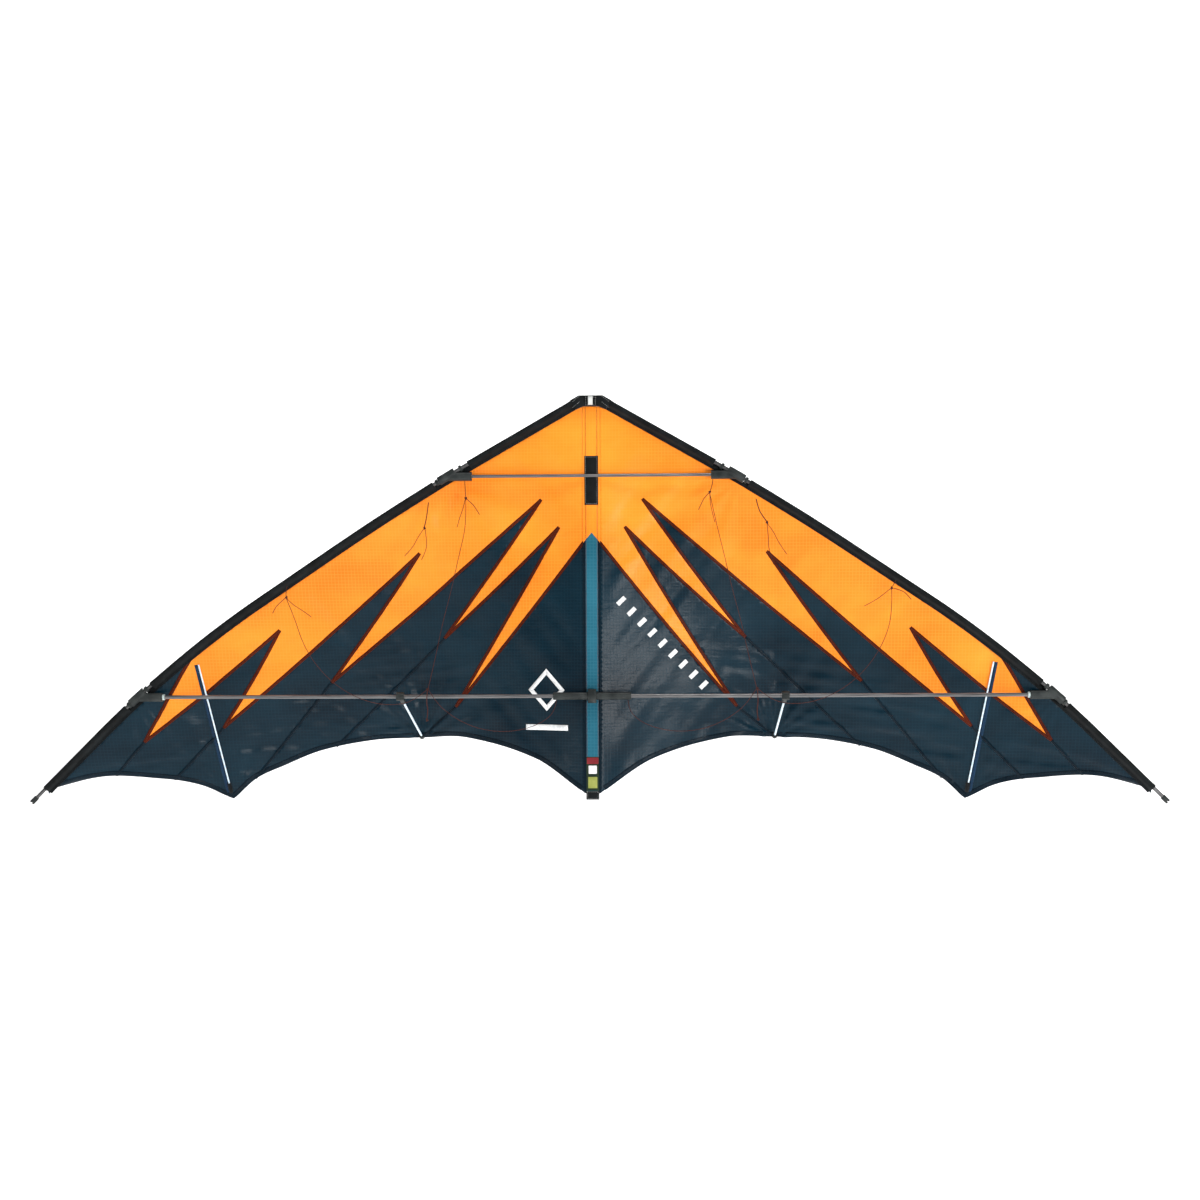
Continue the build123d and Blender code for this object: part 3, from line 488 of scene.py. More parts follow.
def rounded_route(points, share=0.45, step=4.0):
    """Points along straight runs joined by tangent arcs, as a bent rod lies."""
    route = [Vector(points[0])]
    for before, here, after in zip(points, points[1:], points[2:]):
        before, here, after = Vector(before), Vector(here), Vector(after)
        arriving, leaving = (here - before), (after - here)
        reach = share * min(arriving.length, leaving.length)
        first, last = here - arriving.normalized() * reach, here + leaving.normalized() * reach
        count = max(2, int((last - first).length / step))
        for i in range(count + 1):
            t = i / count
            route.append(first.lerp(here, t).lerp(here.lerp(last, t), t))
    route.append(Vector(points[-1]))
    filled = [route[0]]
    for point in route[1:]:
        run = point - filled[-1]
        count = max(1, int(run.length / step))
        start = filled[-1]
        filled += [start + run * (i + 1) / count for i in range(count)]
    return filled


spar_line = rounded_route([plan(*p) for p in leading_edge])


def between(table, x):
    """Straight interpolation in a table of (x, value) rows in order."""
    if x <= table[0][0]:
        return table[0][1]
    for (x0, v0), (x1, v1) in zip(table, table[1:]):
        if x <= x1:
            return v0 + (v1 - v0) * (x - x0) / (x1 - x0)
    return table[-1][1]


def curve_through(rows, step=3.0):
    """A smooth line through the rows, every few millimetres of X."""
    line = []
    for i in range(len(rows) - 1):
        (x0, v0), (x1, v1) = rows[i], rows[i + 1]
        before = rows[i - 1] if i else (2 * x0 - x1, 2 * v0 - v1)
        after = rows[i + 2] if i + 2 < len(rows) else (2 * x1 - x0, 2 * v1 - v0)
        slope0 = (v1 - before[1]) / (x1 - before[0])
        slope1 = (after[1] - v0) / (after[0] - x0)
        count = max(2, int((x1 - x0) / step))
        for k in range(count):
            t = k / count
            h = x1 - x0
            line.append((x0 + h * t, (2 * t**3 - 3 * t**2 + 1) * v0 + (t**3 - 2 * t**2 + t) * h * slope0
                         + (3 * t**2 - 2 * t**3) * v1 + (t**3 - t**2) * h * slope1))
    line.append(rows[-1])
    return line


trailing_rows = [(x * half_span, -z * height) for x, z, _ in trailing_edge]
trailing_rows[0] = (fold_edge, trailing_rows[0][1])
trailing_line = curve_through(trailing_rows[:corner_of_batten + 1])
trailing_line += curve_through(trailing_rows[corner_of_batten:])[1:]
depth_rows = [(x * half_span, depth) for x, _, depth in trailing_edge]
depth_rows[0] = (fold_edge, 0.0)
depth_line = curve_through(depth_rows[:4]) + curve_through(depth_rows[3:])[1:]
top_rows = [(p.x, p.y) for p in spar_line]
last_column = int(half_span) + 40
batten_top = (0.7044 * half_span, -0.661 * height)
batten_low = (trailing_rows[corner_of_batten][0] + 3, trailing_rows[corner_of_batten][1] + 17)
batten_run = Vector((batten_low[0] - batten_top[0], batten_low[1] - batten_top[1])).normalized()
top_at = [between(top_rows, x) for x in range(last_column)]
bottom_at = [between(trailing_line, x) for x in range(last_column)]
depth_at = [between(depth_line, x) for x in range(last_column)]


def column(values, x):
    low = min(int(x), last_column - 2)
    return values[low] + (values[low + 1] - values[low]) * (x - low)


def step_between(low, high, value):
    t = min(1.0, max(0.0, (value - low) / (high - low)))
    return t * t * (3 - 2 * t)


def creases_from(x, z, centre_x, centre_z, count, phase, reach):
    """Fan of creases that a pull at one point sends out into the cloth, dying away with distance."""
    away = hypot(x - centre_x, z - centre_z)
    angle = atan2(z - centre_z, x - centre_x)
    near = step_between(4, 26, away)
    return near * exp(-away / reach) * sin(count * angle + phase + 0.012 * away)


def cloth_y(x, z, sign):
    """How far back the cloth lies at a point of a wing's plan, creases included."""
    top, bottom = column(top_at, x), column(bottom_at, x)
    beside = abs((x - batten_top[0]) * batten_run.y - (z - batten_top[1]) * batten_run.x)
    held = step_between(3, 34, beside)
    under_hem = min(sleeve_hem * hypot(1, column(top_at, x + 1) - top), 0.5 * (top - bottom)) * held
    share = min(1.0, max(0.0, (top - z - under_hem) / (top - bottom - under_hem)))
    y = sail_y + column(depth_at, x) * share
    free = step_between(10, 60, top - z) * step_between(fold_edge, fold_edge + 40, x)
    free *= held
    belly = 3.0 * sin(pi * share) * step_between(20, 220, x) * held
    seed = 7.3 * sign
    slow = noise.noise(Vector((x / 130, z / 95, seed))) * 4.2
    pulled = creases_from(x, z, 291, -551, 17, 0.6 * sign, 120) * 2.6
    pulled += creases_from(x, z, 232, -132, 13, 1.1 + sign, 90) * 1.5
    pulled += creases_from(x, z, 732, -480, 15, 0.4 * sign, 90) * 1.6
    pulled += creases_from(x, z, 597, -648, 19, 2.0 + sign, 80) * 1.7
    along = 0.62 * x + 0.78 * z
    across = 0.78 * x - 0.62 * z
    slant = noise.noise(Vector((along / 150, across / 23, seed + 3))) * 2.9
    ripple_x, ripple_z = x / 120, (z + 0.12 * x) / 13
    ripple = noise.noise(Vector((ripple_x, ripple_z, seed + 9)))
    lower = step_between(0.42, 0.8, share) * step_between(120, 330, x)
    edge_flutter = noise.noise(Vector((x / 34, 0, seed + 5))) * 2.4 * step_between(0.84, 1.0, share)
    edge_flutter *= step_between(40, 90, x)
    return y - belly + free * (slow + pulled + slant + 6.0 * ripple * lower) + edge_flutter


def cloth_point(x, z, sign, proud=0.0):
    """A point of the cloth in the frame. proud lifts it towards the flyer, square to the cloth."""
    y = cloth_y(x, z, sign)
    if proud:
        slope_x = (cloth_y(x + 2, z, sign) - y) / 2
        slope_z = (cloth_y(x, z + 2, sign) - y) / 2
        normal = Vector((slope_x, -1, slope_z)).normalized() * proud
        return place(sign * (x + normal.x), y + normal.y, z + normal.z)
    return place(sign * x, y, z)


# ---------------------------------------------------------------------------------------------------
# The sail panels: ripstop polyester of about 40 grams, hot-cut. One orange panel with five flame points
# and six dark ones lie edge to edge in lapped seams; each is its own cut, hemmed into the sleeve.
flame_roots = [(0.0, 0.3375), (0.0584, 0.3235), (0.0897, 0.255), (0.3089, 0.3857), (0.5607, 0.5762)]
flame_points = [(0.255, 0.7745), (0.2707, 0.5992), (0.4783, 0.7107), (0.6703, 0.8227), (0.8061, 0.8554)]
seam_ends = [0.3242, 0.4778, 0.6233, 0.7622, 0.8622]
leading_edge_meeting = 0.7215
cloth_thickness = 0.35
cloth_grid = 4.4
ripstop_square = 0.0052
dark_names = ["inner", "first", "second", "third", "fourth", "tip"]
roots = [plan(*p) for p in flame_roots]
points = [plan(*p) for p in flame_points]
share = (fold_edge - roots[0][0]) / (points[0][0] - roots[0][0])
roots[0] = (fold_edge, roots[0][1] + share * (points[0][1] - roots[0][1]))
ends = [(f * half_span, column(bottom_at, f * half_span)) for f in seam_ends]
sail_tip_x = trailing_rows[-1][0]
under_sleeve = []
for before, here in zip(spar_line, spar_line[1:]):
    run = (here - before).normalized()
    inside = here + Vector((run.y, -run.x)) * tuck
    if fold_edge < inside.x < sail_tip_x and inside.y < -15.5:
        under_sleeve.append((inside.x, inside.y))
meeting_x = leading_edge_meeting * half_span
upper_edge = [p for p in under_sleeve if p[0] < meeting_x]
outer_edge = [p for p in under_sleeve if p[0] > meeting_x]
meeting = (upper_edge[-1][0], upper_edge[-1][1])


def straight(start, end, step=None):
    """Points from start up to, but not including, end."""
    count = max(1, round(hypot(end[0] - start[0], end[1] - start[1]) / (step or cloth_grid)))
    return [(start[0] + (end[0] - start[0]) * i / count, start[1] + (end[1] - start[1]) * i / count)
            for i in range(count)]


def flame_edge(start, end):
    """A flame's side: almost straight, with the slight curve of a hand-cut flame, from root to point."""
    bow = 2.2
    length = hypot(end[0] - start[0], end[1] - start[1])
    across = ((end[1] - start[1]) / length, -(end[0] - start[0]) / length)
    return [(x + bow * sin(pi * i / n) * across[0], z + bow * sin(pi * i / n) * across[1])
            for line in [straight(start, end)] for n in [len(line)] for i, (x, z) in enumerate(line)]


def along_trailing_edge(x0, x1):
    """The trailing edge from one X to another, in either direction, without the last point."""
    low, high = min(x0, x1), max(x0, x1)
    inner = [p for p in trailing_line if low + 1 < p[0] < high - 1]
    inner = inner[::max(1, int(cloth_grid / 3))]
    line = [(low, column(bottom_at, low))] + inner + [(high, column(bottom_at, high))]
    if x0 > x1:
        line.reverse()
    return line[:-1]


def back(line, end):
    """A line of points turned round: it starts at end and stops before its old start."""
    return [end] + line[:0:-1]


sides_of_flames = []
for i in range(5):
    sides_of_flames.append(flame_edge(roots[i], points[i]))
rising = []
for i in range(4):
    rising.append(flame_edge(roots[i + 1], points[i]))
rising.append(straight(meeting, points[4]))
seams = [straight(p, e) for p, e in zip(points, ends)]
outlines = {}
outlines["inner"] = sides_of_flames[0] + seams[0] + along_trailing_edge(ends[0][0], fold_edge)
outlines["inner"] += straight((fold_edge, trailing_rows[0][1]), roots[0])
for i in range(1, 5):
    outlines[dark_names[i]] = (rising[i - 1] + seams[i - 1] + along_trailing_edge(ends[i - 1][0], ends[i][0])
                               + back(seams[i], ends[i]) + back(sides_of_flames[i], points[i]))
tip_end = (sail_tip_x, trailing_rows[-1][1])
outlines["tip"] = (rising[4] + seams[4] + along_trailing_edge(ends[4][0], sail_tip_x) + [tip_end]
                   + outer_edge[::-1])
outlines["orange"] = straight((fold_edge, -15.6), roots[0]) + sides_of_flames[0]
for i in range(4):
    outlines["orange"] += back(rising[i], points[i]) + sides_of_flames[i + 1]
outlines["orange"] += back(rising[4], points[4]) + [meeting] + upper_edge[-2::-1]


def inside(outline, x, z):
    hit = False
    for (x0, z0), (x1, z1) in zip(outline, outline[1:] + outline[:1]):
        if (z0 > z) != (z1 > z) and x < x0 + (z - z0) * (x1 - x0) / (z1 - z0):
            hit = not hit
    return hit


def filled(outline):
    """Flat triangles that fill an outline: (points, triangles)."""
    zs = [p[1] for p in outline]
    cells = {(int(x // cloth_grid), int(z // cloth_grid)) for x, z in outline}
    corners = [Vector(p) for p in outline]
    row = 0
    z = min(zs) + cloth_grid / 2
    while z < max(zs):
        crossings = sorted(
            x0 + (z - z0) * (x1 - x0) / (z1 - z0)
            for (x0, z0), (x1, z1) in zip(outline, outline[1:] + outline[:1]) if (z0 > z) != (z1 > z))
        for left, right in zip(crossings[::2], crossings[1::2]):
            x = (int(left / cloth_grid) + 1 + 0.5 * (row % 2)) * cloth_grid
            while x < right - cloth_grid * 0.4:
                if x > left + cloth_grid * 0.4 and (int(x // cloth_grid), int(z // cloth_grid)) not in cells:
                    corners.append(Vector((x, z)))
                x += cloth_grid
        row += 1
        z += cloth_grid * 0.87
    found, _, triangles, *_ = delaunay_2d_cdt(corners, [], [list(range(len(outline)))], 1, 0.01)
    return [(p.x, p.y) for p in found], [tuple(t) for t in triangles]


def cut_size(outline):
    """Width, length and area in metres of the smallest rectangle that the cut fits in."""
    area = abs(sum(x0 * z1 - x1 * z0 for (x0, z0), (x1, z1)
                   in zip(outline, outline[1:] + outline[:1]))) / 2e6
    best = None
    for degrees in range(0, 180, 5):
        c, s = cos(radians(degrees)), sin(radians(degrees))
        across = [x * c + z * s for x, z in outline]
        along = [z * c - x * s for x, z in outline]
        width, length = max(across) - min(across), max(along) - min(along)
        if best is None or width * length < best[0] * best[1]:
            best = (width, length)
    return best[0] / 1000, best[1] / 1000, area


def ripstop(name, dark, light, thread, sheen, gloss=0.12):
    """Woven polyester: fine reinforcing threads in small squares, and a slow change of shade."""
    made, nodes, links, shader = new_material(name, light, 0.30, Sheen_Weight=sheen, Sheen_Roughness=0.4,
                                              Specular_IOR_Level=gloss)
    slow = object_pattern(nodes, links, "ShaderNodeTexNoise", (1, 1, 1.6), 0.5, Scale=7.0, Detail=5.0)
    colour = shade_between(nodes, links, slow.outputs["Fac"], dark, light, 0.3, 0.7)
    lines = []
    for direction in ("X", "Z"):
        wave = object_pattern(nodes, links, "ShaderNodeTexWave", bands_direction=direction,
                              Scale=2 * pi / 20 / ripstop_square)
        power = nodes.new("ShaderNodeMath")
        power.operation = "POWER"
        power.inputs[1].default_value = 14
        links.new(wave.outputs["Fac"], power.inputs[0])
        lines.append(power.outputs[0])
    grid = nodes.new("ShaderNodeMath")
    grid.operation = "MAXIMUM"
    links.new(lines[0], grid.inputs[0])
    links.new(lines[1], grid.inputs[1])
    mixed = nodes.new("ShaderNodeMix")
    mixed.data_type = "RGBA"
    faint = nodes.new("ShaderNodeMath")
    faint.operation = "MULTIPLY"
    faint.inputs[1].default_value = 0.35
    links.new(grid.outputs[0], faint.inputs[0])
    links.new(faint.outputs[0], mixed.inputs["Factor"])
    links.new(colour, mixed.inputs["A"])
    mixed.inputs["B"].default_value = (*thread, 1)
    links.new(mixed.outputs["Result"], shader.inputs["Base Color"])
    raised(nodes, links, shader, grid.outputs[0], 0.00012, 0.6)
    crease = object_pattern(nodes, links, "ShaderNodeTexNoise", (1.0, 1.0, 3.2), 0.25, Scale=38.0,
                            Detail=6.0, Roughness=0.6)
    raised(nodes, links, shader, crease.outputs["Fac"], 0.0022, 0.35)
    return made


orange_cloth = ripstop("orange_ripstop", (0.76, 0.168, 0.008), (0.89, 0.268, 0.021), (0.93, 0.35, 0.05), 0.0)
dark_cloth = ripstop("dark_ripstop", (0.0003, 0.0066, 0.0135), (0.0014, 0.0165, 0.0290),
                     (0.004, 0.028, 0.044), 0.0, 0.13)
fills = {name: filled(outline) for name, outline in outlines.items()}
for side, sign in sides.items():
    for name, (flat_points, triangles) in fills.items():
        mesh = bpy.data.meshes.new(f"{side}_{name}_cloth")
        where = [cloth_point(x, z, sign) for x, z in flat_points]
        faces = [t if sign > 0 else t[::-1] for t in triangles]
        mesh.from_pydata(where, [], faces)
        flip = bmesh.new()
        flip.from_mesh(mesh)
        flip.normal_update()
        if sum(f.normal.y * f.calc_area() for f in flip.faces) > 0:
            bmesh.ops.reverse_faces(flip, faces=flip.faces)
        flip.to_mesh(mesh)
        flip.free()
        for polygon in mesh.polygons:
            polygon.use_smooth = True
        colour = orange_cloth if name == "orange" else dark_cloth
        cloth = new_piece(f"{side}_{name}_cloth", mesh, colour)
        wall = cloth.modifiers.new("thickness", "SOLIDIFY")
        wall.thickness = cloth_thickness / 1000
        wall.offset = -1
        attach(cloth, f"{side}_wing")
        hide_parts(f"{side}_{name}_panel")
        width, length, area = cut_size(outlines[name])

# ---------------------------------------------------------------------------------------------------
# Seams and hems. The panels are lapped by five millimetres and zigzag stitched; where dark cloth lies
# under orange the lap looks maroon. The trailing edge is turned over twice and sewn down.
lap_width = 5.0
dark_lap_width = 4.0
hem_width = 8.0
seam_rise = 0.6
stitch_rise = 0.74
maroon_lap = ripstop("maroon_lap", (0.024, 0.003, 0.001), (0.075, 0.010, 0.003),
                     (0.12, 0.018, 0.005), 0.0, 0.05)
dark_lap = ripstop("dark_lap", (0.0008, 0.005, 0.010), (0.002, 0.010, 0.018),
                   (0.005, 0.018, 0.028), 0.0, 0.08)


def evenly(line, step):
    """A plan line's points, spaced by about a step, its corners kept."""
    even = [line[0]]
    for start, end in zip(line, line[1:]):
        even += straight(start, end, step)[1:] + [end]
    return even


def squares(line):
    """Unit vectors across a plan line at its points."""
    across = []
    for i, _ in enumerate(line):
        before, after = line[max(0, i - 1)], line[min(len(line) - 1, i + 1)]
        run = Vector((after[0] - before[0], after[1] - before[1])).normalized()
        across.append((-run.y, run.x))
    return across


def band(name, lines, width, sign, material, shift=0.0):
    """Strips of cloth laid along plan lines of one wing, front and back of the sail at once."""
    where, faces = [], []
    for line in lines:
        line = evenly(line, 3.0)
        first = len(where)
        for (x, z), (ax, az) in zip(line, squares(line)):
            for reach, rise in ((-0.5, 0.12), (-0.42, 0.5), (0, 0.56), (0.42, 0.5), (0.5, 0.12)):
                by = reach * width + shift
                where.append(cloth_point(x + ax * by, z + az * by, sign, rise * seam_rise * 2))
        for i in range(len(line) - 1):
            for k in range(4):
                a = first + 5 * i + k
                faces.append((a, a + 1, a + 6, a + 5))
    mesh = bpy.data.meshes.new(name)
    mesh.from_pydata(where, [], faces)
    turn = bmesh.new()
    turn.from_mesh(mesh)
    turn.normal_update()
    bmesh.ops.reverse_faces(turn, faces=[f for f in turn.faces if f.normal.y > 0])
    turn.to_mesh(mesh)
    turn.free()
    for polygon in mesh.polygons:
        polygon.use_smooth = True
    side = "right" if sign > 0 else "left"
    piece = new_piece(name, mesh, material)
    wall = piece.modifiers.new("thickness", "SOLIDIFY")
    wall.thickness = (2 * seam_rise + cloth_thickness) / 1000
    wall.offset = -1
    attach(piece, f"{side}_wing")
    return piece


def closed(line, last):
    return line + [last]


flame_lines = []
for i in range(5):
    flame_lines.append(closed(sides_of_flames[i], points[i]))
for i in range(4):
    flame_lines.append(closed(rising[i], points[i]))
flame_lines.append(closed(rising[4], points[4]))
seam_lines = [closed(seam, end) for seam, end in zip(seams, ends)]
hem_line = along_trailing_edge(fold_edge, sail_tip_x)
hem_middle = [(x, z + hem_width / 2) for x, z in hem_line if fold_edge + 5 < x < sail_tip_x - 14]
for side, sign in sides.items():
    band(f"{side}_flame_laps", flame_lines, lap_width, sign, maroon_lap)
    band(f"{side}_dark_laps", seam_lines, dark_lap_width, sign, dark_lap)
    band(f"{side}_trailing_edge_hem", [hem_middle], hem_width, sign, dark_lap)

# ---------------------------------------------------------------------------------------------------
# Sewing. Polyester thread, a third of a millimetre thick: zigzag over the laps and hems, and straight
# lockstitch round patches and webbing. Both are grown along the lines that the needle followed.
thread_radius = 0.00022
zigzag_pitch = 0.0016
zigzag_reach = 0.0011
lock_pitch = 0.0030


def polyester_thread(name, colour):
    made, nodes, links, shader = new_material(name, colour, 0.65, Sheen_Weight=0.05, Specular_IOR_Level=0.2)
    twist = object_pattern(nodes, links, "ShaderNodeTexNoise", Scale=2600.0)
    raised(nodes, links, shader, twist.outputs["Fac"], 0.00006, 0.6)
    return made


dark_thread = polyester_thread("dark_thread", (0.006, 0.010, 0.015))
rust_thread = polyester_thread("rust_thread", (0.13, 0.022, 0.006))
pale_thread = polyester_thread("pale_thread", (0.42, 0.43, 0.42))


def stitch_tree(name, zigzag):
    """A Geometry Nodes tree that sews along the edges of a mesh: zigzag, or straight lockstitch."""
    tree = bpy.data.node_groups.new(name, "GeometryNodeTree")
    face = tree.interface
    face.new_socket("Seam", in_out="INPUT", socket_type="NodeSocketGeometry")
    sockets = {}
    for label in ("Pitch", "Reach", "Thread radius"):
        sockets[label] = face.new_socket(label, in_out="INPUT", socket_type="NodeSocketFloat").identifier
    thread = face.new_socket("Thread", in_out="INPUT", socket_type="NodeSocketMaterial")
    sockets["Thread"] = thread.identifier
    face.new_socket("Stitches", in_out="OUTPUT", socket_type="NodeSocketGeometry")
    nodes, links = tree.nodes, tree.links
    given, made = nodes.new("NodeGroupInput"), nodes.new("NodeGroupOutput")
    to_curve = nodes.new("GeometryNodeMeshToCurve")
    even = nodes.new("GeometryNodeResampleCurve")
    even.mode = "LENGTH"
    links.new(given.outputs["Seam"], to_curve.inputs["Mesh"])
    links.new(to_curve.outputs["Curve"], even.inputs["Curve"])
    links.new(given.outputs["Pitch"], even.inputs["Length"])
    realize, colour = nodes.new("GeometryNodeRealizeInstances"), nodes.new("GeometryNodeSetMaterial")
    if zigzag:
        across = nodes.new("GeometryNodeInputNamedAttribute")
        across.data_type = "FLOAT_VECTOR"
        across.inputs["Name"].default_value = "across"
        number, odd = nodes.new("GeometryNodeInputIndex"), nodes.new("ShaderNodeMath")
        odd.operation = "MODULO"
        odd.inputs[1].default_value = 2
        middle, reach = nodes.new("ShaderNodeMath"), nodes.new("ShaderNodeMath")
        middle.operation = "MULTIPLY_ADD"
        middle.inputs[1].default_value = 2
        middle.inputs[2].default_value = -1
        reach.operation = "MULTIPLY"
        step, move = nodes.new("ShaderNodeVectorMath"), nodes.new("GeometryNodeSetPosition")
        step.operation = "SCALE"
        links.new(number.outputs[0], odd.inputs[0])
        links.new(odd.outputs[0], middle.inputs[0])
        links.new(middle.outputs[0], reach.inputs[0])
        links.new(given.outputs["Reach"], reach.inputs[1])
        links.new(across.outputs["Attribute"], step.inputs[0])
        links.new(reach.outputs[0], step.inputs["Scale"])
        links.new(even.outputs["Curve"], move.inputs["Geometry"])
        links.new(step.outputs["Vector"], move.inputs["Offset"])
        profile = nodes.new("GeometryNodeCurvePrimitiveCircle")
        profile.inputs["Resolution"].default_value = 4
        sewn = nodes.new("GeometryNodeCurveToMesh")
        links.new(given.outputs["Thread radius"], profile.inputs["Radius"])
        links.new(move.outputs["Geometry"], sewn.inputs["Curve"])
        links.new(profile.outputs["Curve"], sewn.inputs["Profile Curve"])
        links.new(sewn.outputs["Mesh"], realize.inputs["Geometry"])
    else:
        stitch = nodes.new("GeometryNodeMeshIcoSphere")
        stitch.inputs["Subdivisions"].default_value = 1
        links.new(given.outputs["Thread radius"], stitch.inputs["Radius"])
        long = nodes.new("ShaderNodeMath")
        long.operation = "DIVIDE"
        links.new(given.outputs["Reach"], long.inputs[0])
        links.new(given.outputs["Thread radius"], long.inputs[1])
        shape = nodes.new("ShaderNodeCombineXYZ")
        shape.inputs["X"].default_value = 1
        shape.inputs["Y"].default_value = 1
        links.new(long.outputs[0], shape.inputs["Z"])
        tangent, turn = nodes.new("GeometryNodeInputTangent"), nodes.new("FunctionNodeAlignRotationToVector")
        links.new(tangent.outputs[0], turn.inputs["Vector"])
        placed = nodes.new("GeometryNodeInstanceOnPoints")
        links.new(even.outputs["Curve"], placed.inputs["Points"])
        links.new(stitch.outputs["Mesh"], placed.inputs["Instance"])
        links.new(turn.outputs[0], placed.inputs["Rotation"])
        links.new(shape.outputs[0], placed.inputs["Scale"])
        links.new(placed.outputs["Instances"], realize.inputs["Geometry"])
    links.new(realize.outputs["Geometry"], colour.inputs["Geometry"])
    links.new(given.outputs["Thread"], colour.inputs["Material"])
    links.new(colour.outputs["Geometry"], made.inputs["Stitches"])
    return tree, sockets


zigzag_tree = stitch_tree("zigzag_stitches", True)
lock_tree = stitch_tree("lock_stitches", False)


def sewn(name, lines, body, thread, slot, tree_and_sockets, pitch, reach):
    """Stitches along lines of (place, direction across) pairs, as one plain mesh on one body."""
    tree, sockets = tree_and_sockets
    where, edges, across = [], [], []
    for line in lines:
        edges += [(len(where) + i, len(where) + i + 1) for i in range(len(line) - 1)]
        where += [p for p, _ in line]
        across += [a for _, a in line]
    mesh = bpy.data.meshes.new(name + "_needle_path")
    mesh.from_pydata(where, edges, [])
    direction = mesh.attributes.new("across", "FLOAT_VECTOR", "POINT")
    for i, vector in enumerate(across):
        direction.data[i].vector = vector
    guide = bpy.data.objects.new(name + "_needle_path", mesh)
    bpy.context.scene.collection.objects.link(guide)
    grow = guide.modifiers.new("stitches", "NODES")
    grow.node_group = tree
    grow[sockets["Pitch"]] = pitch
    grow[sockets["Reach"]] = reach
    grow[sockets["Thread radius"]] = thread_radius
    grow[sockets["Thread"]] = thread
    bpy.context.view_layer.update()
    depsgraph = bpy.context.evaluated_depsgraph_get()
    plain = bpy.data.meshes.new_from_object(guide.evaluated_get(depsgraph))
    guide.modifiers.clear()
    bpy.data.objects.remove(guide)
    plain.name = name
    for attribute in [a for a in plain.attributes if a.name == "across"]:
        plain.attributes.remove(attribute)
    plain.materials.clear()
    for polygon in plain.polygons:
        polygon.use_smooth = True
    return new_piece(name, plain, thread, body)


def needle_path(line, sign, rise=stitch_rise):
    """A plan line on one wing's cloth, with the direction across it at each point."""
    line = evenly(line, 3.0)
    path = []
    for (x, z), (ax, az) in zip(line, squares(line)):
        here = cloth_point(x, z, sign, rise)
        beside = cloth_point(x + ax, z + az, sign, rise)
        path.append((here, (beside - here).normalized()))
    return path


for side, sign in sides.items():
    sewn(f"{side}_flame_stitches", [needle_path(line, sign) for line in flame_lines], f"{side}_wing",
         rust_thread, "dark_cloth", zigzag_tree, zigzag_pitch, zigzag_reach)
    dark_lines = seam_lines + [[(x, z + 2.2) for x, z in hem_middle]]
    sewn(f"{side}_dark_stitches", [needle_path(line, sign) for line in dark_lines], f"{side}_wing",
         dark_thread, "dark_cloth", zigzag_tree, zigzag_pitch, zigzag_reach)

# ---------------------------------------------------------------------------------------------------
# The leading-edge sleeve: black polyester webbing cloth folded over the spar and sewn down along its
# hem. It is cut away in two windows where the connectors grip the spar, and only the hem runs on.
sleeve_radius = 4.6
sleeve_start_x = 30.0
sleeve_end_x = 880.0
window_nose = (39.5, 29.5)
window_tip = 25.0


def webbing(name, dark, light, rib, along="Z"):
    """Black or pale woven tape: ribs across, a soft nap and rubbed edges."""
    made, nodes, links, shader = new_material(name, light, 0.62, Sheen_Weight=0.06, Sheen_Roughness=0.5,
                                              Specular_IOR_Level=0.08)
    worn = object_pattern(nodes, links, "ShaderNodeTexNoise", Scale=60.0, Detail=6.0)
    links.new(shade_between(nodes, links, worn.outputs["Fac"], dark, light, 0.3, 0.72),
              shader.inputs["Base Color"])
    for direction in ("X", along):
        ribs = object_pattern(nodes, links, "ShaderNodeTexWave", bands_direction=direction,
                              Scale=2 * pi / 20 / rib)
        raised(nodes, links, shader, ribs.outputs["Fac"], 0.00010, 0.5)
    return made


black_webbing = webbing("black_webbing", (0.0020, 0.0026, 0.0028), (0.0075, 0.0095, 0.0105), 0.0011)
pale_webbing = webbing("pale_webbing", (0.42, 0.43, 0.42), (0.62, 0.63, 0.61), 0.0012)
spar_at = [0.0]
for before, here in zip(spar_line, spar_line[1:]):
    spar_at.append(spar_at[-1] + (here - before).length)


def spar_frame(distance):
    """The spar's axis at a distance along it, its direction, and the direction out of the sail."""
    distance = min(max(distance, 0.0), spar_at[-1])
    i = max(k for k in range(len(spar_at) - 1) if spar_at[k] <= distance)
    share = (distance - spar_at[i]) / (spar_at[i + 1] - spar_at[i])
    run = (spar_line[i + 1] - spar_line[i]).normalized()
    return spar_line[i].lerp(spar_line[i + 1], share), run, Vector((-run.y, run.x))


def distance_at_x(x):
    return between([(p.x, d) for p, d in zip(spar_line, spar_at)], x)


def distance_at_drop(drop):
    return between([(-p.y, d) for p, d in zip(spar_line, spar_at)], drop)


def sleeve_section():
    """Outline of the sleeve across the spar: (out of the sail, back) pairs, with the hem's tail."""
    ring = [(sleeve_radius * cos(radians(a)), sleeve_radius * sin(radians(a))) for a in range(-118, 79, 14)]
    tail_back = [(-2.6, 6.15), (-6.0, 6.5), (-8.2, 6.55), (-11.5, 6.5)]
    tail_front = [(-11.5, 5.45), (-8.4, 5.3), (-6.2, 2.6), (-4.3, -1.2)]
    return ring + tail_back + tail_front


def loft(name, rings):
    """A closed skin over rings of points in order, with flat ends."""
    work = bmesh.new()
    rows = [[work.verts.new(p) for p in ring] for ring in rings]
    for low, high in zip(rows, rows[1:]):
        for k in range(len(low)):
            work.faces.new((low[k], low[k - 1], high[k - 1], high[k]))
    work.faces.new(rows[0])
    work.faces.new(rows[-1][::-1])
    bmesh.ops.recalc_face_normals(work, faces=work.faces)
    mesh = bpy.data.meshes.new(name)
    work.to_mesh(mesh)
    work.free()
    smooth(mesh, radians(50))
    return mesh


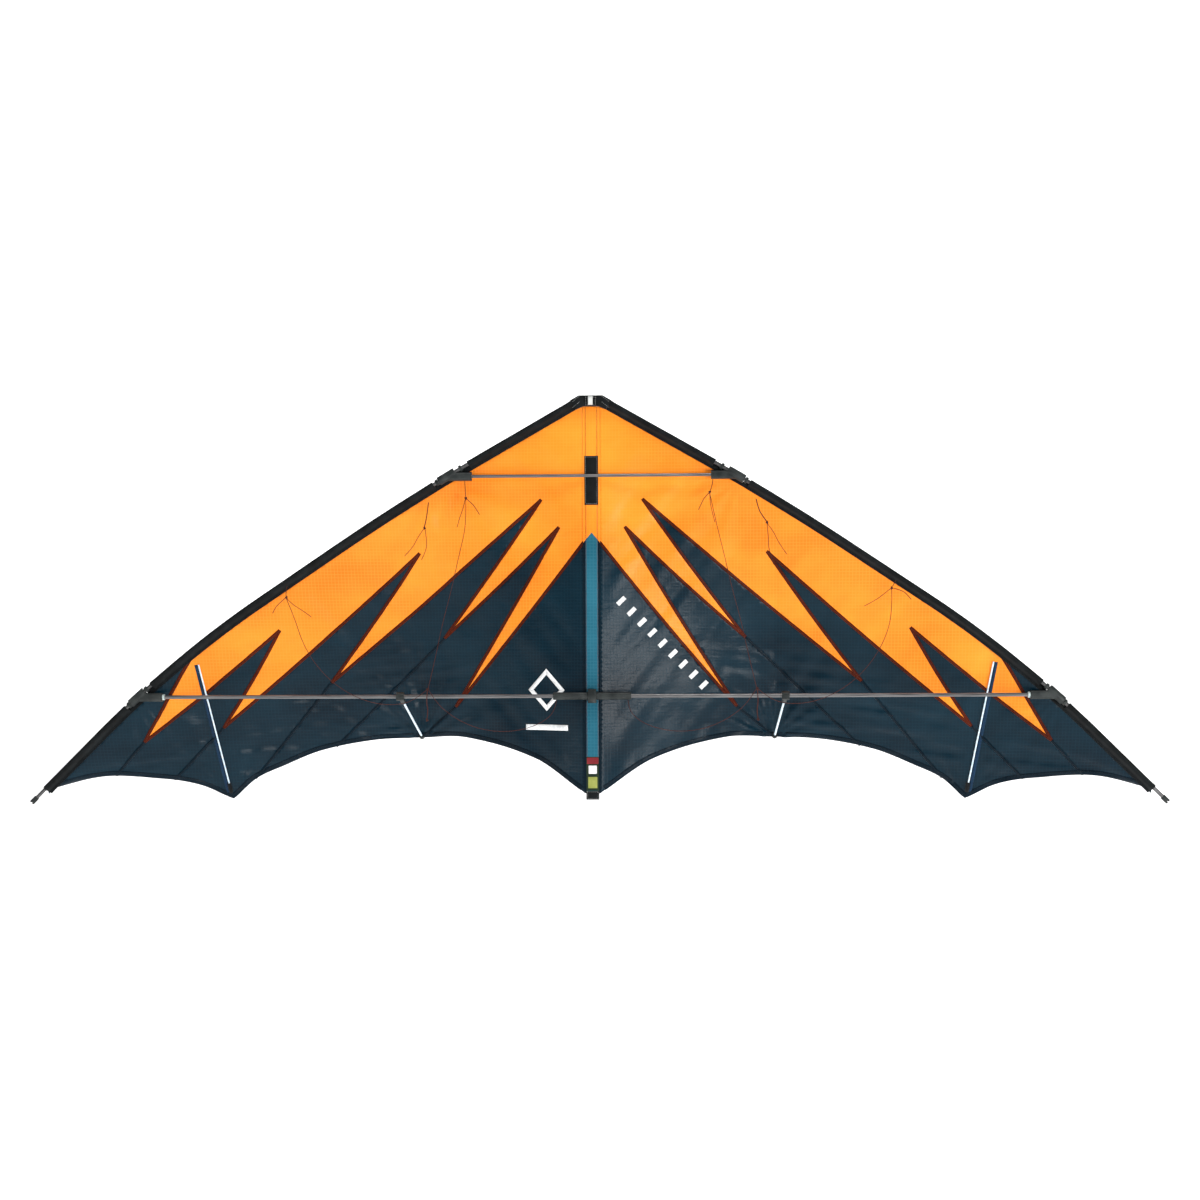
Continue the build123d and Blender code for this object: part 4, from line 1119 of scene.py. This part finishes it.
upper_spreader_low, upper_spreader_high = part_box("upper_spreader")
upper_drop = (drawing_zero.z - (upper_spreader_low[2] + upper_spreader_high[2]) / 2) * 1000
lower_drop = (drawing_zero.z - (spar_low[2] + spar_high[2]) / 2) * 1000
upper_distance, lower_distance = distance_at_drop(upper_drop), distance_at_drop(lower_drop)
stretches = [
    (distance_at_x(sleeve_start_x), upper_distance - window_nose[0]),
    (upper_distance + window_tip, lower_distance - window_nose[1]),
    (lower_distance + window_tip, distance_at_x(sleeve_end_x)),
]
section = sleeve_section()
for side, sign in sides.items():
    skins = []
    for start, end in stretches:
        rings = []
        count = int((end - start) / 3.5)
        places = [start, start + 1.0] + [start + 7 + (end - start - 14) * i / count for i in range(count + 1)]
        places += [end - 1.0, end]
        for place_along in places:
            near_end = min(place_along - start, end - place_along)
            swell = 1.0 + 0.07 * (1 - step_between(5.5, 7.5, near_end)) - 0.09 * (near_end < 0.5)
            axis, run, out = spar_frame(place_along)
            ring = []
            for number, (away, depth) in enumerate(section):
                crease = noise.noise(Vector((place_along / 17, number / 3.1, 4.0 * sign))) * 0.42
                on_round = step_between(-8.0, -3.0, away)
                grow = swell * (1 + 0.05 * crease * on_round) if on_round else 1.0
                flat = axis + out * (away * grow)
                ring.append(place(sign * flat.x, depth * (grow if on_round else 1), flat.y))
            rings.append(ring)
        skins.append(loft(f"{side}_sleeve_part", rings))
    joined = bmesh.new()
    for skin in skins:
        joined.from_mesh(skin)
        bpy.data.meshes.remove(skin)
    for low, high, grip in ((stretches[0][1], stretches[1][0], upper_distance),
                            (stretches[1][1], stretches[2][0], lower_distance)):
        rings = []
        for i in range(61):
            axis, run, out = spar_frame(low - 3 + (high - low + 6) * i / 60)
            beside = abs(low - 3 + (high - low + 6) * i / 60 - grip)
            reach = -4.9 + 4.1 * step_between(15.3, 16.0, beside)
            corners = ((reach, 5.5), (-11.4, 5.5), (-11.4, 6.5), (reach, 6.5))
            rings.append([place(sign * (axis + out * a).x, d, (axis + out * a).y) for a, d in corners])
        strip = loft("hem_strip", rings)
        joined.from_mesh(strip)
        bpy.data.meshes.remove(strip)
    mesh = bpy.data.meshes.new(f"{side}_leading_edge_sleeve_cloth")
    joined.to_mesh(mesh)
    joined.free()
    smooth(mesh, radians(50))
    piece = new_piece(f"{side}_leading_edge_sleeve_cloth", mesh, black_webbing, f"{side}_wing")
    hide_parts(f"{side}_leading_edge_sleeve")
    paths = []
    for start, end in stretches:
        path = []
        for i in range(int((end - start) / 4)):
            axis, run, out = spar_frame(start + 2 + 4 * i)
            flat = axis + out * -9.9
            path.append((place(sign * flat.x, 5.18, flat.y), Vector((sign * out.x, 0, out.y))))
        paths.append(path)
    sewn(f"{side}_sleeve_stitches", paths, f"{side}_wing", dark_thread, "black_webbing", zigzag_tree,
         zigzag_pitch, zigzag_reach)

# ---------------------------------------------------------------------------------------------------
# The nose: heavy webbing folded over both spar ends and the top of the spine, sewn through, with a pale
# webbing loop. It bends at the two fold lines, so it is a middle and two ends that follow the wings.
nose_half = 0.0095
nose_middle = new_piece("nose_webbing", moulded("nose_patch", 0.7, (-nose_half, nose_half)), black_webbing,
                        "centre")
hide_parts("nose_patch")
for side, sign in sides.items():
    ends_x = sorted((sign * nose_half, sign * 0.08))
    wrap = new_piece(f"{side}_nose_webbing", moulded("nose_patch", 0.7, ends_x), black_webbing, None)
    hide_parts("nose_patch")
    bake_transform(wrap, "centre", f"{side}_wing", (sign * 0.0095, 0, 0), (sign * 0.017, 0, 0))
loop = new_piece("hang_loop_webbing", moulded("hang_loop", 0.25), pale_webbing, "centre")
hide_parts("hang_loop")


def flat_path(corners, y, close=True, step=2.0):
    """A straight-stitch line round drawn corners at one depth, as (place, across) pairs."""
    if close:
        corners = corners + corners[:1]
    line = evenly(corners, step)
    return [(place(x, y, z), Vector((ax, 0, az))) for (x, z), (ax, az) in zip(line, squares(line))]


nose_front = -4.6
nose_box = flat_path([(-7.5, -3.0), (7.5, -3.0), (7.5, -15.5), (-7.5, -15.5)], nose_front - 0.1)
sewn("nose_stitches", [nose_box], "centre", pale_thread, "black_webbing", lock_tree, lock_pitch, 0.0011)
for side, sign in sides.items():
    slope = [(x, z + d) for d in (4.6, -4.8) for x, z in ((18.5, -6.4), (28.0, -14.0))]
    lines = [flat_path([(sign * a[0], a[1]), (sign * b[0], b[1])], nose_front - 0.1, False)
             for a, b in (slope[:2], slope[2:])]
    sewn(f"{side}_nose_stitches", lines, f"{side}_wing", pale_thread, "black_webbing", lock_tree,
         lock_pitch, 0.0011)

# ---------------------------------------------------------------------------------------------------
# The spine's sleeve: a strip of sail cloth down the middle, orange above the dark panels and below them
# dark cloth painted a lighter teal, a painted sheen of the rounded tunnel over the spine, with a pocket for
# the spine sewn behind it. A window in the pocket lets the centre T grip the spine.
strip_half = 11.0
strip_thickness = 0.8
strip_top = 17.0
strip_bottom = 0.982 * height
apex_drop = 0.3375 * height
flame_slope = (points[0][1] + apex_drop) / points[0][0]
spine_low, spine_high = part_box("spine")
spine_y = ((spine_low[1] + spine_high[1]) / 2 - drawing_zero.y) * 1000
pocket_radius = 4.6
t_window = 13.0
# The lower strip's teal is the dark cloth painted lighter: a painted sheen of the rounded tunnel over the
# spine.
sleeve_cloth_painted_sheen = ripstop("teal_ripstop_painted_sheen", (0.010, 0.085, 0.13), (0.022, 0.135, 0.195), (0.05, 0.19, 0.25), 0.0)
strip_columns = 8


def strip_mesh(name, top_of, bottom_of):
    """A length of the centre strip, a little crowned, between two heights that depend on X."""
    rows = 160
    where, faces = [], []
    for i in range(rows + 1):
        for k in range(strip_columns + 1):
            x = -strip_half + 2 * strip_half * k / strip_columns
            z = top_of(x) + (bottom_of(x) - top_of(x)) * i / rows
            crown = 0.28 * cos(pi * x / strip_half / 2) + 0.12 * noise.noise(Vector((x / 6, z / 19, 2)))
            where.append(place(x, sail_y - strip_thickness / 2 - crown, z))
    for i in range(rows):
        for k in range(strip_columns):
            a = i * (strip_columns + 1) + k
            faces.append((a, a + 1, a + strip_columns + 2, a + strip_columns + 1))
    mesh = bpy.data.meshes.new(name)
    mesh.from_pydata(where, [], faces)
    turn = bmesh.new()
    turn.from_mesh(mesh)
    turn.normal_update()
    bmesh.ops.reverse_faces(turn, faces=[f for f in turn.faces if f.normal.y > 0])
    turn.to_mesh(mesh)
    turn.free()
    for polygon in mesh.polygons:
        polygon.use_smooth = True
    return mesh


def apex(x):
    return -apex_drop + flame_slope * abs(x)


upper_strip = new_piece("upper_centre_strip", strip_mesh("upper_centre_strip", lambda x: -strip_top, apex),
                        orange_cloth)
lower_strip = new_piece("lower_centre_strip",
                        strip_mesh("lower_centre_strip", apex, lambda x: -strip_bottom), sleeve_cloth_painted_sheen)
for strip, slot in ((upper_strip, "centre_cloth"), (lower_strip, "centre_cloth")):
    wall = strip.modifiers.new("thickness", "SOLIDIFY")
    wall.thickness = strip_thickness / 1000
    wall.offset = -1
    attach(strip, "centre")
    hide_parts("spine_sleeve")
pocket_skins = []
for top, bottom in ((strip_top, lower_drop - t_window), (lower_drop + t_window, strip_bottom - 7.4)):
    rings = []
    count = int((bottom - top) / 4)
    for i in range(count + 1):
        drop = top + (bottom - top) * i / count
        ring = []
        for k, degrees in enumerate(range(0, 181, 12)):
            swell = pocket_radius + 0.25 * noise.noise(Vector((drop / 14, k / 2.4, 11)))
            ring.append(place(swell * cos(radians(degrees)), spine_y + swell * sin(radians(degrees)), -drop))
        flange = sail_y + strip_thickness / 2
        ring += [place(-8.6, flange + 0.25, -drop), place(-8.6, flange - 0.1, -drop),
                 place(8.6, flange - 0.1, -drop), place(8.6, flange + 0.25, -drop)]
        rings.append(ring)
    pocket_skins.append(loft("spine_pocket_part", rings))
joined = bmesh.new()
for skin in pocket_skins:
    joined.from_mesh(skin)
    bpy.data.meshes.remove(skin)
pocket_mesh = bpy.data.meshes.new("spine_pocket")
joined.to_mesh(pocket_mesh)
joined.free()
smooth(pocket_mesh, radians(50))
pocket = new_piece("spine_pocket", pocket_mesh, black_webbing, "centre")
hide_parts("spine_sleeve")
for side, sign in sides.items():
    for part, cloth, top_of, bottom_of in (
            ("upper", orange_cloth, lambda x: -strip_top, apex),
            ("lower", dark_lap, apex, lambda x: -strip_bottom)):
        reaches = (9.9, 10.5, 10.9, 11.2, 11.5, 11.9, 12.6, 13.6)
        rows = 150
        where, faces = [], []
        for i in range(rows + 1):
            for x in reaches:
                z = top_of(x) + (bottom_of(x) - top_of(x)) * i / rows
                where.append(place(sign * x, sail_y - 0.66, z))
        for i in range(rows):
            for k in range(len(reaches) - 1):
                a = i * len(reaches) + k
                corners = (a, a + 1, a + len(reaches) + 1, a + len(reaches))
                faces.append(corners if sign < 0 else corners[::-1])
        mesh = bpy.data.meshes.new(f"{side}_{part}_fold_lap")
        mesh.from_pydata(where, [], faces)
        turn = bmesh.new()
        turn.from_mesh(mesh)
        turn.normal_update()
        bmesh.ops.reverse_faces(turn, faces=[f for f in turn.faces if f.normal.y > 0])
        bmesh.ops.solidify(turn, geom=turn.faces[:], thickness=0.00015)
        bmesh.ops.recalc_face_normals(turn, faces=turn.faces)
        turn.to_mesh(mesh)
        turn.free()
        for polygon in mesh.polygons:
            polygon.use_smooth = True
        fold_lap = new_piece(f"{side}_{part}_fold_lap", mesh, cloth, None)
        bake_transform(fold_lap, "centre", f"{side}_wing", (sign * 0.0107, 0, 0), (sign * 0.0119, 0, 0))
edge_lines = [flat_path([(x, -strip_top), (x, -strip_bottom)], sail_y - 0.70, False, 3.0)
              for x in (-8.9, 8.9)]
sewn("centre_strip_stitches", edge_lines, "centre", rust_thread, "centre_cloth", zigzag_tree, zigzag_pitch,
     0.0008)

# ---------------------------------------------------------------------------------------------------
# Patches on the strip: a black wear patch behind the upper spreader, a woven care label near the tail,
# plain blocks of colour only, and the webbing tab and hook-and-loop strap that close the tail.
front_y = sail_y - strip_thickness / 2
wear_patch = new_piece("wear_patch", moulded("centre_patch", 0.22), black_webbing, "centre")
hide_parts("centre_patch")
patch_low, patch_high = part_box("centre_patch")
patch_top = (patch_high[2] - drawing_zero.z) * 1000
patch_bottom = (patch_low[2] - drawing_zero.z) * 1000
inset = 1.9
box_line = flat_path([(-11 + inset, patch_top - inset), (11 - inset, patch_top - inset),
                      (11 - inset, patch_bottom + inset), (-11 + inset, patch_bottom + inset)],
                     front_y - 0.72)
sewn("wear_patch_stitches", [box_line], "centre", pale_thread, "black_webbing", lock_tree, lock_pitch, 0.0011)
label_low, label_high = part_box("label_patch")
label_top = (label_high[2] - drawing_zero.z) * 1000
label_bottom = (label_low[2] - drawing_zero.z) * 1000
label_ground = webbing("label_ground", (0.010, 0.020, 0.012), (0.020, 0.035, 0.020), 0.0006)
label_red = webbing("label_red", (0.16, 0.015, 0.02), (0.24, 0.03, 0.035), 0.0006)
label_pale = webbing("label_pale", (0.72, 0.70, 0.70), (0.85, 0.83, 0.83), 0.0006)
label_olive = webbing("label_olive", (0.22, 0.25, 0.05), (0.34, 0.36, 0.10), 0.0006)
label = new_piece("care_label", moulded("label_patch", 0.22), label_ground, "centre")
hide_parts("label_patch")


def woven_block(name, width, top, bottom, material):
    """A plain rounded block of one colour, woven into the label's face."""
    work = bmesh.new()
    corners = []
    for cx, cz, start in ((1, 1, 0), (-1, 1, 90), (-1, -1, 180), (1, -1, 270)):
        middle_x, middle_z = cx * (width / 2 - 1), (top - 1 if cz > 0 else bottom + 1)
        for degrees in range(start, start + 91, 30):
            corners.append((middle_x + cos(radians(degrees)), middle_z + sin(radians(degrees))))
    rows = [[work.verts.new(place(x * shrink, front_y - depth, (z - (top + bottom) / 2) * shrink
                                  + (top + bottom) / 2)) for x, z in corners]
            for shrink, depth in ((1.0, 0.5), (1.0, 0.70), (0.985, 0.78))]
    for low, high in zip(rows, rows[1:]):
        for k in range(len(corners)):
            work.faces.new((low[k], low[k - 1], high[k - 1], high[k]))
    work.faces.new(rows[-1])
    work.faces.new(rows[0][::-1])
    bmesh.ops.recalc_face_normals(work, faces=work.faces)
    mesh = bpy.data.meshes.new(name)
    work.to_mesh(mesh)
    work.free()
    smooth(mesh)
    new_piece(name, mesh, material, "centre")


woven_block("label_red_band", 18.4, label_top - 1.2, label_top - 11.5, label_red)
woven_block("label_pale_block", 13.0, label_top - 14.0, label_top - 27.0, label_pale)
woven_block("label_olive_block", 14.5, label_top - 32.0, label_bottom + 4.0, label_olive)
tab = new_piece("tail_webbing_tab", moulded("tail_tab", 0.35), black_webbing, "centre")
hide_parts("tail_tab")
strap = new_piece("tail_closing_strap", moulded("tail_strap", 0.35), black_webbing, "tail_strap")
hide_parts("tail_strap")
tab_low, tab_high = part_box("tail_tab")
tab_top = (tab_high[2] - drawing_zero.z) * 1000 - 1.2
tab_bottom = (tab_low[2] - drawing_zero.z) * 1000 + 1.8
tab_front = (tab_low[1] - drawing_zero.y) * 1000 - 0.08
sewn("tail_tab_stitches", [flat_path([(-8.6, tab_top), (8.6, tab_top), (8.6, tab_bottom), (-8.6, tab_bottom)],
                                     tab_front)],
     "centre", pale_thread, "black_webbing", lock_tree, lock_pitch, 0.0011)

# ---------------------------------------------------------------------------------------------------
# Battens and stand-off rods: solid glass-fibre rod, white with a cool cast. The outer batten lies in
# front of the cloth on a dark blue tape, with a webbing cap over its foot.
glass_rod, nodes, links, shader = new_material(
    "glass_fibre_rod", (0.62, 0.74, 0.82), 0.32, Coat_Weight=0.3, Coat_Roughness=0.2)
strands = object_pattern(nodes, links, "ShaderNodeTexNoise", (1, 1, 0.04), Scale=700.0, Detail=3.0)
links.new(shade_between(nodes, links, strands.outputs["Fac"], (0.45, 0.62, 0.76), (0.78, 0.86, 0.90)),
          shader.inputs["Base Color"])
batten_tape = ripstop("batten_tape", (0.003, 0.014, 0.034), (0.006, 0.028, 0.066), (0.014, 0.05, 0.11), 0.0)
tape_shift = 3.6
run = batten_run
for side, sign in sides.items():
    finish_node(f"{side}_outer_batten", glass_rod)
    finish_node(f"{side}_standoff_rod", glass_rod)
    tape = [(batten_top[0] + 0.5, batten_top[1]), (batten_low[0] + 0.5, batten_low[1] - 6)]
    band(f"{side}_batten_tape", [tape], 5.6, sign, batten_tape, tape_shift)
    cap_rings = []
    for share in (0.0, 0.04, 0.5, 0.96, 1.0):
        for_low = Vector((batten_low[0], batten_low[1])) + run * (-9 + 16 * share)
        size = 2.6 if 0 < share < 1 else 1.9
        middle_y = cloth_y(for_low.x, for_low.y, sign) - 2.6
        ring = []
        for degrees in range(0, 360, 30):
            spread = size * cos(radians(degrees))
            ring.append(place(sign * (for_low.x - run.y * spread * 1.25),
                              middle_y + size * sin(radians(degrees)),
                              for_low.y + run.x * spread * 1.25))
        cap_rings.append(ring)
    new_piece(f"{side}_batten_foot", loft(f"{side}_batten_foot", cap_rings), black_webbing, f"{side}_wing")

# ---------------------------------------------------------------------------------------------------
# A vinyl stop ring where each lower spreader enters its connector.
ring_vinyl, nodes, links, shader = new_material("pale_vinyl", (0.42, 0.50, 0.49), 0.45)
speck = object_pattern(nodes, links, "ShaderNodeTexNoise", Scale=300.0, Detail=3.0)
links.new(shade_between(nodes, links, speck.outputs["Fac"], (0.34, 0.42, 0.41), (0.50, 0.58, 0.57)),
          shader.inputs["Base Color"])
mouth_x = (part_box("right_lower_connector")[0][0] - drawing_zero.x) * 1000
ring_length = 4.0
for side, sign in sides.items():
    rings = []
    for along, radius in ((0.2, 3.02), (0.2, 4.3), (0.7, 4.8), (ring_length - 0.5, 4.8), (ring_length, 4.3),
                          (ring_length, 3.02)):
        rings.append([place(sign * (mouth_x - along), radius * cos(radians(a)),
                            radius * sin(radians(a)) - lower_drop)
                      for a in range(0, 360, 15)])
    work = bmesh.new()
    rows = [[work.verts.new(p) for p in ring] for ring in rings]
    for low, high in zip(rows, rows[1:] + rows[:1]):
        for k in range(len(low)):
            work.faces.new((low[k], low[k - 1], high[k - 1], high[k]))
    bmesh.ops.recalc_face_normals(work, faces=work.faces)
    mesh = bpy.data.meshes.new(f"{side}_stop_ring")
    work.to_mesh(mesh)
    work.free()
    smooth(mesh)
    new_piece(f"{side}_stop_ring", mesh, ring_vinyl, f"{side}_wing")

# ---------------------------------------------------------------------------------------------------
# Plain printed shapes in white ink on the two inner panels: an open lozenge over a bar on the left, and
# a slanting row of short bars on the right.
ink, nodes, links, shader = new_material("white_ink", (0.84, 0.86, 0.86), 0.55)
patchy = object_pattern(nodes, links, "ShaderNodeTexNoise", Scale=220.0, Detail=4.0)
links.new(shade_between(nodes, links, patchy.outputs["Fac"], (0.72, 0.75, 0.76), (0.90, 0.92, 0.92)),
          shader.inputs["Base Color"])


def printed(name, shapes, sign):
    """Closed plan shapes printed on one wing's cloth."""
    work = bmesh.new()
    for shape in shapes:
        outline = []
        for start, end in zip(shape, shape[1:] + shape[:1]):
            outline += straight(start, end, 3.0)
        flat_points, triangles = filled(outline)
        corners = [work.verts.new(cloth_point(x, z, sign, 0.75)) for x, z in flat_points]
        for triangle in triangles:
            work.faces.new([corners[i] for i in triangle])
    work.normal_update()
    bmesh.ops.reverse_faces(work, faces=[f for f in work.faces if f.normal.y > 0])
    mesh = bpy.data.meshes.new(name)
    work.to_mesh(mesh)
    work.free()
    for polygon in mesh.polygons:
        polygon.use_smooth = True
    side = "right" if sign > 0 else "left"
    piece = new_piece(name, mesh, ink)
    skin = piece.modifiers.new("ink_thickness", "SOLIDIFY")
    skin.thickness = 0.0004
    skin.offset = -1
    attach(piece, f"{side}_wing")


lozenge_middle = (75.0, -468.0)
lozenge_half = (30.0, 34.0)
corners = []
for way_x, way_z in ((1, 0), (0, 1), (-1, 0), (0, -1)):
    corners.append((way_x * lozenge_half[0], way_z * lozenge_half[1]))
lozenge_sides = []
for (x0, z0), (x1, z1) in zip(corners, corners[1:] + corners[:1]):
    lozenge_sides.append([(lozenge_middle[0] + x * s, lozenge_middle[1] + z * s)
                          for x, z, s in ((x0, z0, 1), (x1, z1, 1), (x1, z1, 0.72), (x0, z0, 0.72))])
bar_under = [(40, -524), (110, -524), (110, -533), (40, -533)]
printed("left_printed_lozenge", lozenge_sides + [bar_under], -1)
row_start, row_end = Vector((46.0, -326.0)), Vector((176.0, -462.0))
row_run = (row_end - row_start).normalized()
row_side = Vector((row_run.y, -row_run.x))
bars = []
for i in range(9):
    middle = row_start.lerp(row_end, i / 8)
    half_along, half_across = 3.4, 8.0
    bars.append([(p.x, p.y) for p in (
        middle - row_run * half_along - row_side * half_across,
        middle + row_run * half_along - row_side * half_across,
        middle + row_run * half_along + row_side * half_across,
        middle - row_run * half_along + row_side * half_across)])
printed("right_printed_bars", bars, 1)
